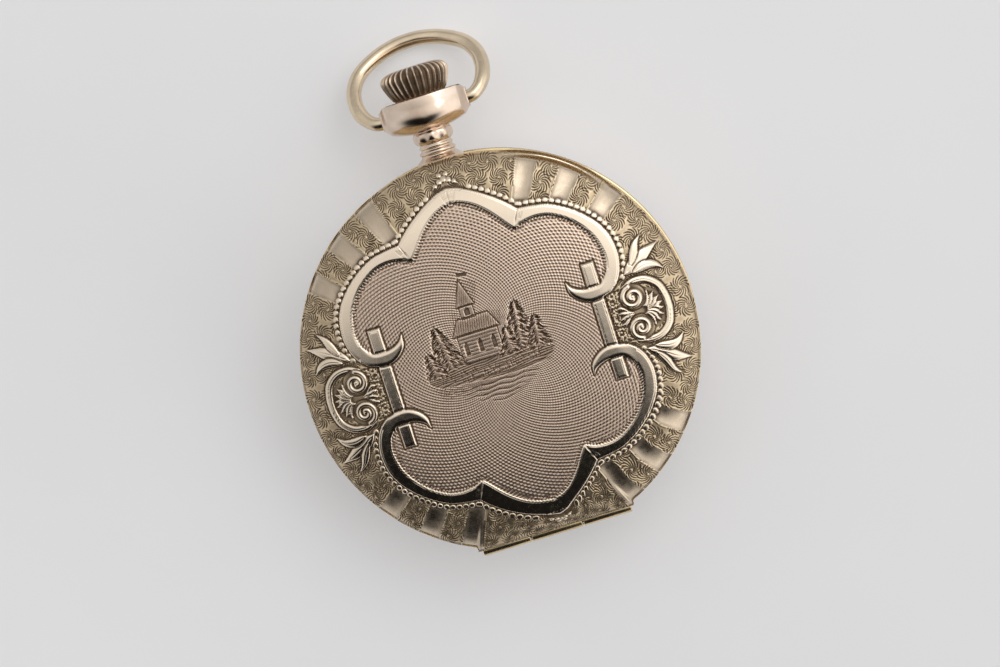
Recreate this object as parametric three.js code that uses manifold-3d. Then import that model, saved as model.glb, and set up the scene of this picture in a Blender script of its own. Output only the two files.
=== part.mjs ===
// Ladies' hunter-case pocket watch (fob watch), 35 mm case, keyless lever movement.
// Millimetres. +Z is the front (the engraved cover), +Y points along the pendant, +X is to the right.
// The origin is the centre of the flat on the back cover that the watch lies on.
import * as THREE from "three";
import { mergeVertices } from "three/addons/utils/BufferGeometryUtils.js";
import Module from "manifold-3d";

const wasm = await Module();
wasm.setup();

// ---------------------------------------------------------------- driving dimensions
const CASE_R = 17.5; // outer radius of both covers
const THICKNESS = 11.4; // over both covers
const MID_Z = THICKNESS / 2; // plane of the pendant, stem and bow pivot
const WALL = 0.42; // cover thickness
const REST_R = 5.5; // flat on the back cover
const RIM_Z = 3.6; // height of a cover's rim above its own outside face
const BAND_R = 17.3; // outside of the centre band
const BAND_IN_R = 15.1; // inside of the centre band
const BAND_LOW = 3.72;
const BAND_HIGH = THICKNESS - BAND_LOW;
const CHORD_Y = -16.4; // straight edge of the covers at the hinge
const HINGE_Y = -16.5; // both hinge pins' axes
const FRONT_HINGE_Z = THICKNESS - 3.7;
const BACK_HINGE_Z = 3.7;
const KNUCKLE_R = 0.5;
const KNUCKLE_BORE_R = 0.31;
const PIN_R = 0.25;
const HINGE_HALF = 7.1; // half length of the straight edge
const SIDES = 32; // segments round the case

const PIVOT_Y = 21.9; // bow pivot, from the case centre
const EAR_HALF = 3.95; // half width over the pendant's ears
const EAR_R = 1.05;
const EAR_BORE_R = 0.5;
const BOW_PIN_R = 0.42;
const BOW_WIRE_R = 0.62;
const BOW_REACH = 8; // pivot to the middle of the bow's far wire
const BOW_TILT = -38.9; // degrees: the bow hangs down until its wire lies on the table

const CROWN_FLUTES = 26;
const CROWN_BASE_Y = 23.15;
const CROWN_TOP_Y = 25.9;
const STEM_R = 0.42;
const STEM_LOW_Y = 10.65; // inner end of the stem, clear of the plate when the crown is pressed

const PLATE_R = 14.8;
const PLATE_LOW = 4.9;
const PLATE_HIGH = 6.85;
const DIAL_R = 14.3;
const DIAL_LOW = 7.0;
const DIAL_HIGH = 7.25;
const BRIDGE_LOW = 2.6;
const BRIDGE_HIGH = 3.5;
const PIVOT_R = 0.16; // train arbors
const PIVOT_BORE_R = 0.22;

// Places of the train, seen from the front with the pendant at the top: [x, y].
const CENTRE = [0, 0];
const BARREL = [-5.0, 5.1];
const CROWN_WHEEL = [0, 9.41];
const THIRD = [3.944, -2.991];
const FOURTH = [6.6, 0];
const ESCAPE = [7.98, -3.41];
const PALLET = [8.38, -5.67];
const BALANCE = [5.55, -8.05];
const MINUTE_WHEEL = [-0.5, -2.84];
const CLICK = [-9.5, 7.9];

// ---------------------------------------------------------------- materials
const finish = (color, roughness, metalness) => ({ color, roughness, metalness });
const GOLD = finish(0xc9a678, 0.25, 1);
const ROSE_GOLD = finish(0xd0a48c, 0.2, 1);
const STEEL = finish(0x9a9ca0, 0.3, 1);
const BLUED = finish(0x23356b, 0.3, 1);
const NICKEL = finish(0xc4c3bd, 0.35, 1);
const BRASS = finish(0xc8a451, 0.35, 1);
const ENAMEL = finish(0xf4f1e8, 0.25, 0);
const GLASS = finish(0xdfe8ea, 0.05, 0);
const RUBY = finish(0xa01838, 0.1, 0);

// ---------------------------------------------------------------- solids
const IDENTITY = new THREE.Matrix4();

// A closed three.js geometry as a manifold solid, placed by a matrix and turned face out.
function solid(geometry, matrix = IDENTITY) {
  const bare = new THREE.BufferGeometry();
  const source = geometry.index ? geometry.toNonIndexed() : geometry;
  bare.setAttribute("position", source.getAttribute("position").clone());
  bare.applyMatrix4(matrix);
  const merged = mergeVertices(bare, 1e-4);
  const corners = merged.index.array;
  const kept = [];
  for (let i = 0; i < corners.length; i += 3) {
    const [a, b, c] = [corners[i], corners[i + 1], corners[i + 2]];
    if (a !== b && b !== c && c !== a) kept.push(a, b, c);
  }
  const triVerts = new Uint32Array(kept);
  const vertProperties = merged.attributes.position.array;
  let made = new wasm.Manifold(new wasm.Mesh({ numProp: 3, vertProperties, triVerts }));
  if (made.volume() < 0) {
    for (let i = 0; i < triVerts.length; i += 3) {
      [triVerts[i], triVerts[i + 1]] = [triVerts[i + 1], triVerts[i]];
    }
    made = new wasm.Manifold(new wasm.Mesh({ numProp: 3, vertProperties, triVerts }));
  }
  return made;
}

// The solid's surface as a three.js geometry.
function surface(body) {
  const made = body.getMesh();
  const points = new Float32Array(made.numVert * 3);
  for (let i = 0; i < made.numVert; i++) {
    points.set(made.vertProperties.subarray(i * made.numProp, i * made.numProp + 3), i * 3);
  }
  const geometry = new THREE.BufferGeometry();
  geometry.setAttribute("position", new THREE.BufferAttribute(points, 3));
  geometry.setIndex(new THREE.BufferAttribute(new Uint32Array(made.triVerts), 1));
  geometry.computeVertexNormals();
  return geometry;
}

const join = (first, ...rest) => rest.reduce((sum, one) => sum.add(one), first);
const cut = (first, ...rest) => rest.reduce((left, one) => left.subtract(one), first);

const move = (x, y, z) => new THREE.Matrix4().makeTranslation(x, y, z);
const turn = (axis, degrees) =>
  new THREE.Matrix4().makeRotationAxis(
    new THREE.Vector3(...axis),
    THREE.MathUtils.degToRad(degrees),
  );

// A profile of [radius, height] points turned about Z through [x, y].
function turned(profile, [x, y] = CENTRE, sides = SIDES) {
  const points = profile.map(([r, z]) => new THREE.Vector2(r, z));
  const onAxis = profile[0][0] === 0 && profile[profile.length - 1][0] === 0;
  if (!onAxis) points.push(points[0].clone());
  return solid(
    new THREE.LatheGeometry(points, sides),
    move(x, y, 0).multiply(turn([1, 0, 0], 90)),
  );
}

// A profile of [radius, distance] points turned about the stem's axis, which runs along Y.
function turnedAlongY(profile, sides = 24) {
  const points = profile.map(([r, y]) => new THREE.Vector2(r, y));
  const onAxis = profile[0][0] === 0 && profile[profile.length - 1][0] === 0;
  if (!onAxis) points.push(points[0].clone());
  return solid(new THREE.LatheGeometry(points, sides), move(0, 0, MID_Z));
}

// A disc or ring from z low to z high.
function disc(r, low, high, place = CENTRE, sides = 12, bore = 0) {
  const profile = bore
    ? [[bore, low], [r, low], [r, high], [bore, high]]
    : [[0, low], [r, low], [r, high], [0, high]];
  return turned(profile, place, sides);
}

function block(x0, x1, y0, y1, z0, z1) {
  return solid(
    new THREE.BoxGeometry(x1 - x0, y1 - y0, z1 - z0),
    move((x0 + x1) / 2, (y0 + y1) / 2, (z0 + z1) / 2),
  );
}

// A cylinder along X from x0 to x1 on the axis through [y, z].
function rodX(r, x0, x1, y, z, sides = 16) {
  return solid(
    new THREE.CylinderGeometry(r, r, x1 - x0, sides),
    move((x0 + x1) / 2, y, z).multiply(turn([0, 0, 1], 90)),
  );
}

// An outline of [x, y] points extruded from z low to z high.
function plate(outline, low, high, place = CENTRE, degrees = 0) {
  const shape = new THREE.Shape(outline.map(([x, y]) => new THREE.Vector2(x, y)));
  const geometry = new THREE.ExtrudeGeometry(shape, { depth: high - low, bevelEnabled: false });
  return solid(geometry, move(place[0], place[1], low).multiply(turn([0, 0, 1], degrees)));
}

const polar = (r, degrees) => {
  const angle = THREE.MathUtils.degToRad(degrees);
  return [r * Math.cos(angle), r * Math.sin(angle)];
};

// Points on an arc about the origin, in degrees.
function arc(r, from, to, steps) {
  return Array.from({ length: steps + 1 }, (_, i) => polar(r, from + ((to - from) * i) / steps));
}

// A toothed outline: each tooth has a narrow tip and a wide gap, so the wheels run with play.
// The first tooth, or the first gap, points along `aim` degrees.
function teeth(count, tip, root, aim, gapFirst = false, width = 0.32) {
  const pitch = 360 / count;
  const start = aim + (gapFirst ? pitch / 2 : 0);
  const outline = [];
  for (let i = 0; i < count; i++) {
    const middle = start + i * pitch;
    outline.push(polar(root, middle - pitch * width));
    outline.push(polar(tip, middle - pitch * width * 0.45));
    outline.push(polar(tip, middle + pitch * width * 0.45));
    outline.push(polar(root, middle + pitch * width));
  }
  return outline;
}

// The same with two points to a tooth, for wheels with many fine teeth.
function fineTeeth(count, tip, root, aim, gapFirst = false) {
  const pitch = 360 / count;
  const start = aim + (gapFirst ? pitch / 2 : 0);
  return Array.from({ length: count }, (_, i) => [
    polar(root, start + (i - 0.5) * pitch),
    polar(tip, start + i * pitch),
  ]).flat();
}

// Spokes: the windows cut between `count` arms of a wheel.
function windows(count, inner, outer, arm, low, high, place) {
  const cuts = [];
  for (let i = 0; i < count; i++) {
    const from = (i * 360) / count + THREE.MathUtils.radToDeg(arm / outer);
    const to = ((i + 1) * 360) / count - THREE.MathUtils.radToDeg(arm / outer);
    const inFrom = (i * 360) / count + THREE.MathUtils.radToDeg(arm / inner);
    const inTo = ((i + 1) * 360) / count - THREE.MathUtils.radToDeg(arm / inner);
    const outline = [...arc(outer, from, to, 3), ...arc(inner, inTo, inFrom, 1)];
    cuts.push(plate(outline, low - 0.1, high + 0.1, place));
  }
  return cuts;
}

const aimOf = ([x0, y0], [x1, y1]) => THREE.MathUtils.radToDeg(Math.atan2(y1 - y0, x1 - x0));

// ---------------------------------------------------------------- the assembly's group
const watch = new THREE.Group();

function add(name, body, look) {
  const material = new THREE.MeshStandardMaterial(look);
  const mesh = new THREE.Mesh(surface(body), material);
  mesh.name = name;
  watch.add(mesh);
}

// ---------------------------------------------------------------- covers
// Half section of a cover as [radius, height above its own outside face].
const COVER_OUTSIDE = [
  [REST_R, 0],
  [12.5, 0.55],
  [16, 1.7],
  [17.2, 2.75],
  [CASE_R, RIM_Z],
];
const COVER_INSIDE = [
  [CASE_R - WALL, RIM_Z],
  [16.7, 2.95],
  [15.6, 2.05],
  [12.3, 1.0],
  [REST_R, WALL],
];

// A domed cover cut straight along the hinge, with its knuckles and a thumb lip.
// `flip` turns the back cover's heights over into the front cover's.
function cover(flip, knuckles, clearHalf, lipFrom, lipTo) {
  const h = (z) => (flip ? THICKNESS - z : z);
  const hingeZ = flip ? FRONT_HINGE_Z : BACK_HINGE_Z;
  const profile = [[0, 0], ...COVER_OUTSIDE, ...COVER_INSIDE, [0, WALL]];
  const shell = turned(profile.map(([r, z]) => [r, h(z)]));
  const lip = plate(
    [
      ...arc(CASE_R + 0.28, lipFrom + 3, lipTo - 3, 6),
      ...arc(CASE_R - WALL / 2, lipTo, lipFrom, 6),
    ],
    Math.min(h(RIM_Z), h(RIM_Z - 0.6)),
    Math.max(h(RIM_Z), h(RIM_Z - 0.6)),
  );
  const outsideCut = block(-12, 12, -20, CHORD_Y, -1, THICKNESS + 1);
  const wallLow = Math.min(h(RIM_Z), h(2.0));
  const wallHigh = Math.max(h(RIM_Z), h(2.0));
  const wall = block(-HINGE_HALF, HINGE_HALF, CHORD_Y, CHORD_Y + 0.4, wallLow, wallHigh);
  const barrels = knuckles.map(([x0, x1]) => rodX(KNUCKLE_R, x0, x1, HINGE_Y, hingeZ));
  const bore = rodX(KNUCKLE_BORE_R, -9, 9, HINGE_Y, hingeZ);
  const notchLow = Math.min(h(3.05), h(4.2));
  const notch = block(-clearHalf, clearHalf, -18, CHORD_Y + 0.52, notchLow, notchLow + 1.15);
  const gap = join(rodX(KNUCKLE_R + 0.12, -clearHalf, clearHalf, HINGE_Y, hingeZ), notch);
  return cut(join(cut(join(shell, lip), outsideCut), cut(wall, gap), ...barrels), gap, bore);
}

const FRONT_KNUCKLE = 2.3; // half length of the band's middle knuckle
const frontKnuckles = [
  [-6.8, -2.45],
  [2.45, 6.8],
];
const backKnuckles = [
  [-6.8, -4.65],
  [4.65, 6.8],
];
const innerKnuckles = [
  [-4.5, -2.45],
  [2.45, 4.5],
];

add("front_cover", cover(true, frontKnuckles, 2.42, 40, 72), GOLD);
add("back_cover", cover(false, backKnuckles, 4.6, 130, 150), GOLD);

// The inner dust cover lies between the back cover and the movement and shares the back hinge.
{
  const shell = turned([
    [0, 1.5],
    [12.5, 1.5],
    [15.2, 2.3],
    [16.1, 3.2],
    [16.1, 3.6],
    [15.75, 3.6],
    [15.0, 2.55],
    [12.4, 1.8],
    [0, 1.8],
  ]);
  const barrels = innerKnuckles.map(([x0, x1]) =>
    rodX(KNUCKLE_R, x0, x1, HINGE_Y, BACK_HINGE_Z),
  );
  const arms = innerKnuckles.map(([x0, x1]) => block(x0, x1, HINGE_Y, -15.3, 3.2, 3.6));
  const lip = plate([...arc(16.35, 82, 98, 3), ...arc(15.9, 100, 80, 3)], 3.25, 3.6);
  const middle = rodX(KNUCKLE_R + 0.12, -2.42, 2.42, HINGE_Y, BACK_HINGE_Z);
  const bore = rodX(KNUCKLE_BORE_R, -9, 9, HINGE_Y, BACK_HINGE_Z);
  add("inner_cover", cut(join(shell, lip, ...arms, ...barrels), middle, bore), GOLD);
}

// ---------------------------------------------------------------- centre band
{
  const ring = turned([
    [BAND_IN_R, BAND_LOW],
    [BAND_R, BAND_LOW],
    [BAND_R, BAND_HIGH],
    [BAND_IN_R, BAND_HIGH],
    [BAND_IN_R, 4.72],
    [14.35, 4.72],
    [14.35, 4.3],
    [BAND_IN_R, 4.3],
  ]);
  const flat = block(-12, 12, -20, -16.85, -1, THICKNESS + 1);
  const channel = turned([
    [BAND_IN_R - 0.3, 5.0],
    [16.0, 5.0],
    [16.0, 6.9],
    [BAND_IN_R - 0.3, 6.9],
  ]);
  const stemHole = turnedAlongY([[0, 13], [1.25, 13], [1.25, 19], [0, 19]], 16);
  const clear = [FRONT_HINGE_Z, BACK_HINGE_Z].flatMap((z) => [
    rodX(KNUCKLE_R + 0.12, -8, -FRONT_KNUCKLE, HINGE_Y, z),
    rodX(KNUCKLE_R + 0.12, FRONT_KNUCKLE, 8, HINGE_Y, z),
  ]);
  const barrels = [FRONT_HINGE_Z, BACK_HINGE_Z].map((z) =>
    rodX(KNUCKLE_R, -FRONT_KNUCKLE, FRONT_KNUCKLE, HINGE_Y, z),
  );
  const bores = [FRONT_HINGE_Z, BACK_HINGE_Z].map((z) =>
    rodX(KNUCKLE_BORE_R, -9, 9, HINGE_Y, z),
  );
  const body = cut(ring, flat, channel, stemHole, ...clear);
  add("centre_band", cut(join(body, ...barrels), ...bores), GOLD);
}
add("front_hinge_pin", rodX(PIN_R, -6.8, 6.8, HINGE_Y, FRONT_HINGE_Z, 12), STEEL);
add("back_hinge_pin", rodX(PIN_R, -6.8, 6.8, HINGE_Y, BACK_HINGE_Z, 12), STEEL);

// Two steel case springs lie in the band's channel: one lifts the front cover, one locks it.
const SPRING_OUTER_R = 15.85;
const SPRING_INNER_R = 15.45;
const SPRING_HOOK_R = 15.2;
const SPRING_LOW = 5.2;
const SPRING_HIGH = 6.7;
function curvedStrip(innerR, from, to, steps) {
  const outline = [...arc(SPRING_OUTER_R, from, to, steps), ...arc(innerR, to, from, steps)];
  return plate(outline, SPRING_LOW, SPRING_HIGH);
}
function caseSpring(from, to, hookAt) {
  const strip = curvedStrip(SPRING_INNER_R, from, to, 10);
  return join(strip, curvedStrip(SPRING_HOOK_R, hookAt - 3, hookAt + 3, 2));
}
add("lift_spring", caseSpring(190, 258, 250), STEEL);
add("lock_spring", caseSpring(98, 160, 102), STEEL);

// ---------------------------------------------------------------- bezel, crystal, dial
add(
  "bezel",
  turned([
    [14.75, 7.35],
    [15.0, 7.35],
    [15.0, 7.74],
    [15.8, 7.74],
    [15.2, 8.75],
    [14.65, 8.9],
    [14.65, 8.3],
    [13.9, 8.3],
    [13.9, 7.74],
    [14.75, 7.74],
  ]),
  GOLD,
);
add(
  "crystal",
  turned([
    [0, 9.75],
    [8, 9.45],
    [13.5, 8.34],
    [14.5, 8.34],
    [14.5, 8.75],
    [9, 9.95],
    [0, 10.32],
  ]),
  GLASS,
);
add(
  "dial",
  cut(
    disc(DIAL_R, DIAL_LOW, DIAL_HIGH, CENTRE, SIDES),
    disc(1.0, DIAL_LOW - 1, DIAL_HIGH + 1),
    disc(0.4, DIAL_LOW - 1, DIAL_HIGH + 1, FOURTH, 12),
  ),
  ENAMEL,
);

// ---------------------------------------------------------------- pendant
{
  const outer = turnedAlongY([
    [0, 15.6],
    [1.15, 15.6],
    [1.15, 17.2],
    [2.1, 17.2],
    [2.1, 17.65],
    [1.28, 18.1],
    [1.28, 19.0],
    [1.75, 19.45],
    [1.75, 19.8],
    [1.4, 20.2],
    [2.4, 20.9],
    [2.95, 21.7],
    [3.05, 22.75],
    [0, 22.75],
  ], 18);
  const bandGap = cut(
    disc(BAND_R + 0.04, 0, THICKNESS, CENTRE, SIDES),
    turnedAlongY([[0, 14], [1.18, 14], [1.18, 19], [0, 19]], 18),
  );
  const ears = rodX(EAR_R, -EAR_HALF, EAR_HALF, PIVOT_Y, MID_Z, 16);
  const cup = turnedAlongY([
    [0, 22.2],
    [1.6, 22.2],
    [2.55, 22.5],
    [2.85, 23.2],
    [0, 23.2],
  ], 18);
  const bore = turnedAlongY([[0, 14], [0.62, 14], [0.62, 24], [0, 24]], 12);
  const earHoles = [-1, 1].map((side) =>
    rodX(EAR_BORE_R, side > 0 ? 3.0 : -4.2, side > 0 ? 4.2 : -3.0, PIVOT_Y, MID_Z, 12),
  );
  add("pendant_neck", cut(join(cut(outer, bandGap), ears), cup, bore, ...earHoles), ROSE_GOLD);
}

// ---------------------------------------------------------------- bow
{
  const half = [
    [4.3, 0],
    [4.65, 0.12],
    [5.15, 0.7],
    [5.62, 1.7],
    [5.86, 3.1],
    [5.65, 4.6],
    [4.75, 6.1],
    [3.0, 7.3],
    [1.3, 7.88],
    [0, BOW_REACH],
  ];
  const across = [...half, ...half.slice(0, -1).reverse().map(([x, u]) => [-x, u])];
  const path = new THREE.CatmullRomCurve3(across.map(([x, u]) => new THREE.Vector3(x, u, 0)));
  const ring = new THREE.Shape();
  ring.absarc(0, 0, BOW_WIRE_R, 0, Math.PI * 2);
  const wire = new THREE.ExtrudeGeometry(ring, { steps: 28, curveSegments: 4, extrudePath: path });
  const place = move(0, PIVOT_Y, MID_Z).multiply(turn([1, 0, 0], BOW_TILT));
  const pins = [3.1, -4.6].map((x) => rodX(BOW_PIN_R, x, x + 1.5, PIVOT_Y, MID_Z, 12));
  add("bow", join(solid(wire, place), ...pins), GOLD);
}

// ---------------------------------------------------------------- crown and stem
{
  const profile = [
    [0, CROWN_BASE_Y],
    [2.2, CROWN_BASE_Y],
    [2.6, CROWN_BASE_Y + 0.5],
    [2.95, CROWN_BASE_Y + 1.2],
    [3.1, CROWN_BASE_Y + 2.0],
    [2.85, CROWN_TOP_Y - 0.25],
    [2.3, CROWN_TOP_Y],
    [0, CROWN_TOP_Y],
  ];
  const points = profile.map(([r, y]) => new THREE.Vector2(r, y));
  const geometry = new THREE.LatheGeometry(points, CROWN_FLUTES * 2);
  const position = geometry.getAttribute("position");
  for (let i = 0; i < position.count; i++) {
    const angle = Math.atan2(position.getX(i), position.getZ(i));
    const groove = Math.cos(angle * CROWN_FLUTES) < 0 && position.getY(i) > CROWN_BASE_Y + 0.1;
    if (!groove) continue;
    position.setX(i, position.getX(i) * 0.95);
    position.setZ(i, position.getZ(i) * 0.95);
  }
  const body = solid(geometry, move(0, 0, MID_Z));
  const sleeve = turnedAlongY([[0, 22.6], [1.2, 22.6], [1.2, 23.3], [0, 23.3]], 16);
  const stem = turnedAlongY([[0, STEM_LOW_Y], [STEM_R, STEM_LOW_Y], [STEM_R, 23.5], [0, 23.5]], 12);
  const socketR = STEM_R + 0.03;
  const socket = turnedAlongY([[0, 22], [socketR, 22], [socketR, 23.6], [0, 23.6]], 12);
  add("crown", cut(join(body, sleeve), socket), GOLD);
  add("winding_stem", stem, STEEL);
}

// The winding pinion rides on the stem and turns the crown wheel's upright teeth.
const PINION_TEETH = 14;
const CROWN_TEETH = 32;
const RATCHET_TEETH = 48;
const PINION_Y = 11.55; // near face of the winding pinion
const alongY = move(0, 0, MID_Z).multiply(turn([1, 0, 0], -90));
{
  const shape = new THREE.Shape(
    teeth(PINION_TEETH, 1.22, 0.92, 90, false, 0.3).map(([x, y]) => new THREE.Vector2(x, y)),
  );
  const wheel = new THREE.ExtrudeGeometry(shape, { depth: 1.0, bevelEnabled: false });
  const body = solid(wheel, alongY.clone().multiply(move(0, 0, PINION_Y)));
  const bore = turnedAlongY([[0, 10], [STEM_R + 0.04, 10], [STEM_R + 0.04, 14], [0, 14]], 12);
  add("winding_pinion", cut(body, bore), STEEL);
}

// ---------------------------------------------------------------- winding wheels
const CROWN_TIP = 2.78;
const WINDING_LOW = 3.62;
const WINDING_HIGH = 3.98;
const ratchetAim = aimOf(BARREL, CROWN_WHEEL);
{
  const flat = plate(
    fineTeeth(CROWN_TEETH, CROWN_TIP, 2.42, ratchetAim + 180, false),
    WINDING_LOW,
    WINDING_HIGH,
    CROWN_WHEEL,
  );
  const upright = [];
  for (let i = 0; i < CROWN_TEETH; i++) {
    const middle = 90 + ((i + 0.5) * 360) / CROWN_TEETH;
    const outline = [
      polar(2.08, middle - 1.9),
      polar(2.5, middle - 1.7),
      polar(2.5, middle + 1.7),
      polar(2.08, middle + 1.9),
    ];
    upright.push(plate(outline, WINDING_HIGH - 0.1, 4.6, CROWN_WHEEL));
  }
  const bore = disc(0.62, 3, 5, CROWN_WHEEL, 12);
  add("crown_wheel", cut(join(flat, ...upright), bore), STEEL);
}
add(
  "ratchet_wheel",
  cut(
    plate(
      fineTeeth(RATCHET_TEETH, 4.12, 3.78, ratchetAim, true),
      WINDING_LOW,
      WINDING_HIGH,
      BARREL,
    ),
    disc(0.44, 3, 5, BARREL, 12),
  ),
  STEEL,
);

// ---------------------------------------------------------------- barrel and going train
const BARREL_LOW = 4.64;
const BARREL_HIGH = 5.7;
add(
  "mainspring_barrel",
  cut(
    join(
      plate(fineTeeth(60, 6.28, 6.0, aimOf(BARREL, CENTRE)), BARREL_LOW, 4.86, BARREL),
      disc(5.5, 4.84, BARREL_HIGH, BARREL, 24),
    ),
    disc(0.62, 4, 6, BARREL, 12),
  ),
  BRASS,
);
// The arbor passes through the barrel and carries the ratchet wheel on its square.
add(
  "barrel_arbor",
  turned(
    [
      [0, 2.75],
      [0.38, 2.75],
      [0.38, 4.1],
      [0.55, 4.1],
      [0.55, 5.9],
      [0, 5.9],
    ],
    BARREL,
    12,
  ),
  STEEL,
);

// A wheel and its pinion on one arbor. `aims` gives the direction of each one's mesh.
function trainWheel(place, wheel, pinion, arbor) {
  const parts = [disc(arbor.r, arbor.low, arbor.high, place, 8)];
  if (wheel) {
    const flat = plate(
      fineTeeth(wheel.teeth, wheel.tip, wheel.root, wheel.aim, wheel.gap),
      wheel.low,
      wheel.high,
      place,
    );
    const open = windows(wheel.arms, wheel.hub, wheel.root - 0.35, 0.22, wheel.low, wheel.high, place);
    parts.push(cut(flat, ...open));
  }
  if (pinion) {
    const outline = teeth(pinion.teeth, pinion.tip, pinion.root, pinion.aim, pinion.gap, 0.26);
    parts.push(plate(outline, pinion.low, pinion.high, place));
  }
  return join(...parts);
}

add(
  "centre_wheel",
  trainWheel(
    CENTRE,
    {
      teeth: 64,
      tip: 4.46,
      root: 4.2,
      aim: aimOf(CENTRE, THIRD),
      gap: false,
      low: 4.12,
      high: 4.3,
      arms: 4,
      hub: 0.9,
    },
    { teeth: 10, tip: 1.0, root: 0.72, aim: aimOf(CENTRE, BARREL), gap: true, low: 4.28, high: 4.86 },
    { low: 2.75, high: 8.3, r: 0.26 },
  ),
  BRASS,
);
add(
  "third_wheel",
  trainWheel(
    THIRD,
    {
      teeth: 60,
      tip: 3.56,
      root: 3.3,
      aim: aimOf(THIRD, FOURTH),
      gap: false,
      low: 4.5,
      high: 4.65,
      arms: 4,
      hub: 0.8,
    },
    { teeth: 8, tip: 0.62, root: 0.4, aim: aimOf(THIRD, CENTRE), gap: true, low: 4.05, high: 4.52 },
    { low: 2.9, high: 5.4, r: PIVOT_R },
  ),
  BRASS,
);
add(
  "fourth_wheel",
  trainWheel(
    FOURTH,
    {
      teeth: 60,
      tip: 3.4,
      root: 3.16,
      aim: aimOf(FOURTH, ESCAPE),
      gap: false,
      low: 3.72,
      high: 3.87,
      arms: 4,
      hub: 0.7,
    },
    { teeth: 8, tip: 0.58, root: 0.36, aim: aimOf(FOURTH, THIRD), gap: true, low: 4.4, high: 4.75 },
    { low: 2.9, high: 7.62, r: PIVOT_R },
  ),
  BRASS,
);
// The escape wheel's fifteen raked teeth stand clear of the pallet stones.
{
  const tipR = 1.8;
  const outline = Array.from({ length: 15 }, (_, i) => [
    polar(1.4, i * 24 - 4),
    polar(tipR, i * 24 + 5),
    polar(tipR, i * 24 + 7.5),
    polar(1.4, i * 24 + 6),
  ]).flat();
  const rim = cut(plate(outline, 4.2, 4.35, ESCAPE), ...windows(4, 0.5, 1.15, 0.14, 4.2, 4.35, ESCAPE));
  const pinion = plate(teeth(6, 0.5, 0.28, aimOf(ESCAPE, FOURTH), true, 0.24), 3.62, 3.98, ESCAPE);
  const arbor = disc(0.14, 2.9, 5.4, ESCAPE, 10);
  add("escape_wheel", join(rim, pinion, arbor), STEEL);
}

// ---------------------------------------------------------------- lever and balance
{
  const toBalance = aimOf(PALLET, BALANCE);
  const reach = Math.hypot(BALANCE[0] - PALLET[0], BALANCE[1] - PALLET[1]);
  const lever = plate(
    [
      [0.3, -0.16],
      [reach - 1.15, -0.1],
      [reach - 1.1, -0.3],
      [reach - 0.72, -0.24],
      [reach - 0.8, -0.08],
      [reach - 1.0, 0],
      [reach - 0.8, 0.08],
      [reach - 0.72, 0.24],
      [reach - 1.1, 0.3],
      [reach - 1.15, 0.1],
      [0.3, 0.16],
    ],
    4.2,
    4.35,
    PALLET,
    toBalance,
  );
  const toEscape = aimOf(PALLET, ESCAPE);
  const arms = plate(
    [
      [-0.3, 0.16],
      [0.15, 1.25],
      [0.7, 1.66],
      [0.92, 1.38],
      [0.35, 1.1],
      [0.3, 0],
      [0.35, -1.1],
      [0.92, -1.38],
      [0.7, -1.66],
      [0.15, -1.25],
      [-0.3, -0.16],
    ],
    4.2,
    4.35,
    PALLET,
    toEscape,
  );
  const hub = disc(0.4, 4.2, 4.35, PALLET, 12);
  const arbor = disc(0.14, 3.96, 5.4, PALLET, 8);
  const guard = disc(0.3, 4.18, 4.5, PALLET, 8);
  add("pallet_fork", join(hub, lever, arms, arbor, guard), STEEL);
}
const BALANCE_R = 4.2;
const BALANCE_SCREWS = 10;
{
  const rim = disc(BALANCE_R, 3.6, 3.9, BALANCE, 28, BALANCE_R - 0.5);
  const armsAcross = plate(
    [
      [-BALANCE_R + 0.3, -0.22],
      [BALANCE_R - 0.3, -0.22],
      [BALANCE_R - 0.3, 0.22],
      [-BALANCE_R + 0.3, 0.22],
    ],
    3.66,
    3.84,
    BALANCE,
    20,
  );
  const hub = disc(0.6, 3.6, 3.9, BALANCE, 12);
  const screws = [];
  for (let i = 0; i < BALANCE_SCREWS; i++) {
    const angle = 20 + ((i + 0.5) * 360) / BALANCE_SCREWS;
    const screw = solid(
      new THREE.CylinderGeometry(0.14, 0.14, 0.42, 6),
      move(BALANCE[0], BALANCE[1], 3.75)
        .multiply(turn([0, 0, 1], angle))
        .multiply(move(BALANCE_R - 0.05, 0, 0))
        .multiply(turn([0, 0, 1], 90)),
    );
    screws.push(screw);
  }
  add("balance_wheel", cut(join(rim, armsAcross, hub, ...screws), disc(0.24, 3, 4.5, BALANCE, 12)), BRASS);
}
// Staff with its impulse roller below the wheel.
add(
  "balance_staff",
  join(
    turned(
      [
        [0, 2.85],
        [0.13, 2.85],
        [0.13, 3.3],
        [0.2, 3.3],
        [0.2, 3.95],
        [0.3, 3.95],
        [0.3, 4.2],
        [0.62, 4.2],
        [0.62, 4.34],
        [0.2, 4.34],
        [0.2, 5.2],
        [0.12, 5.2],
        [0.12, 5.5],
        [0, 5.5],
      ],
      BALANCE,
      12,
    ),
  ),
  STEEL,
);
// Flat spiral hairspring: two and a half coarse turns stand for the real fine ones.
{
  const turns = 2.5;
  const steps = 36;
  const at = (i, side) => {
    const share = i / steps;
    return polar(0.55 + 1.75 * share + side, share * turns * 360);
  };
  const outline = [];
  for (let i = 0; i <= steps; i++) outline.push(at(i, 0.05));
  for (let i = steps; i >= 0; i--) outline.push(at(i, -0.05));
  const coil = plate(outline, 3.34, 3.5, BALANCE);
  const collet = disc(0.52, 3.34, 3.5, BALANCE, 12, 0.24);
  add("hairspring", join(coil, collet), BLUED);
}

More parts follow.
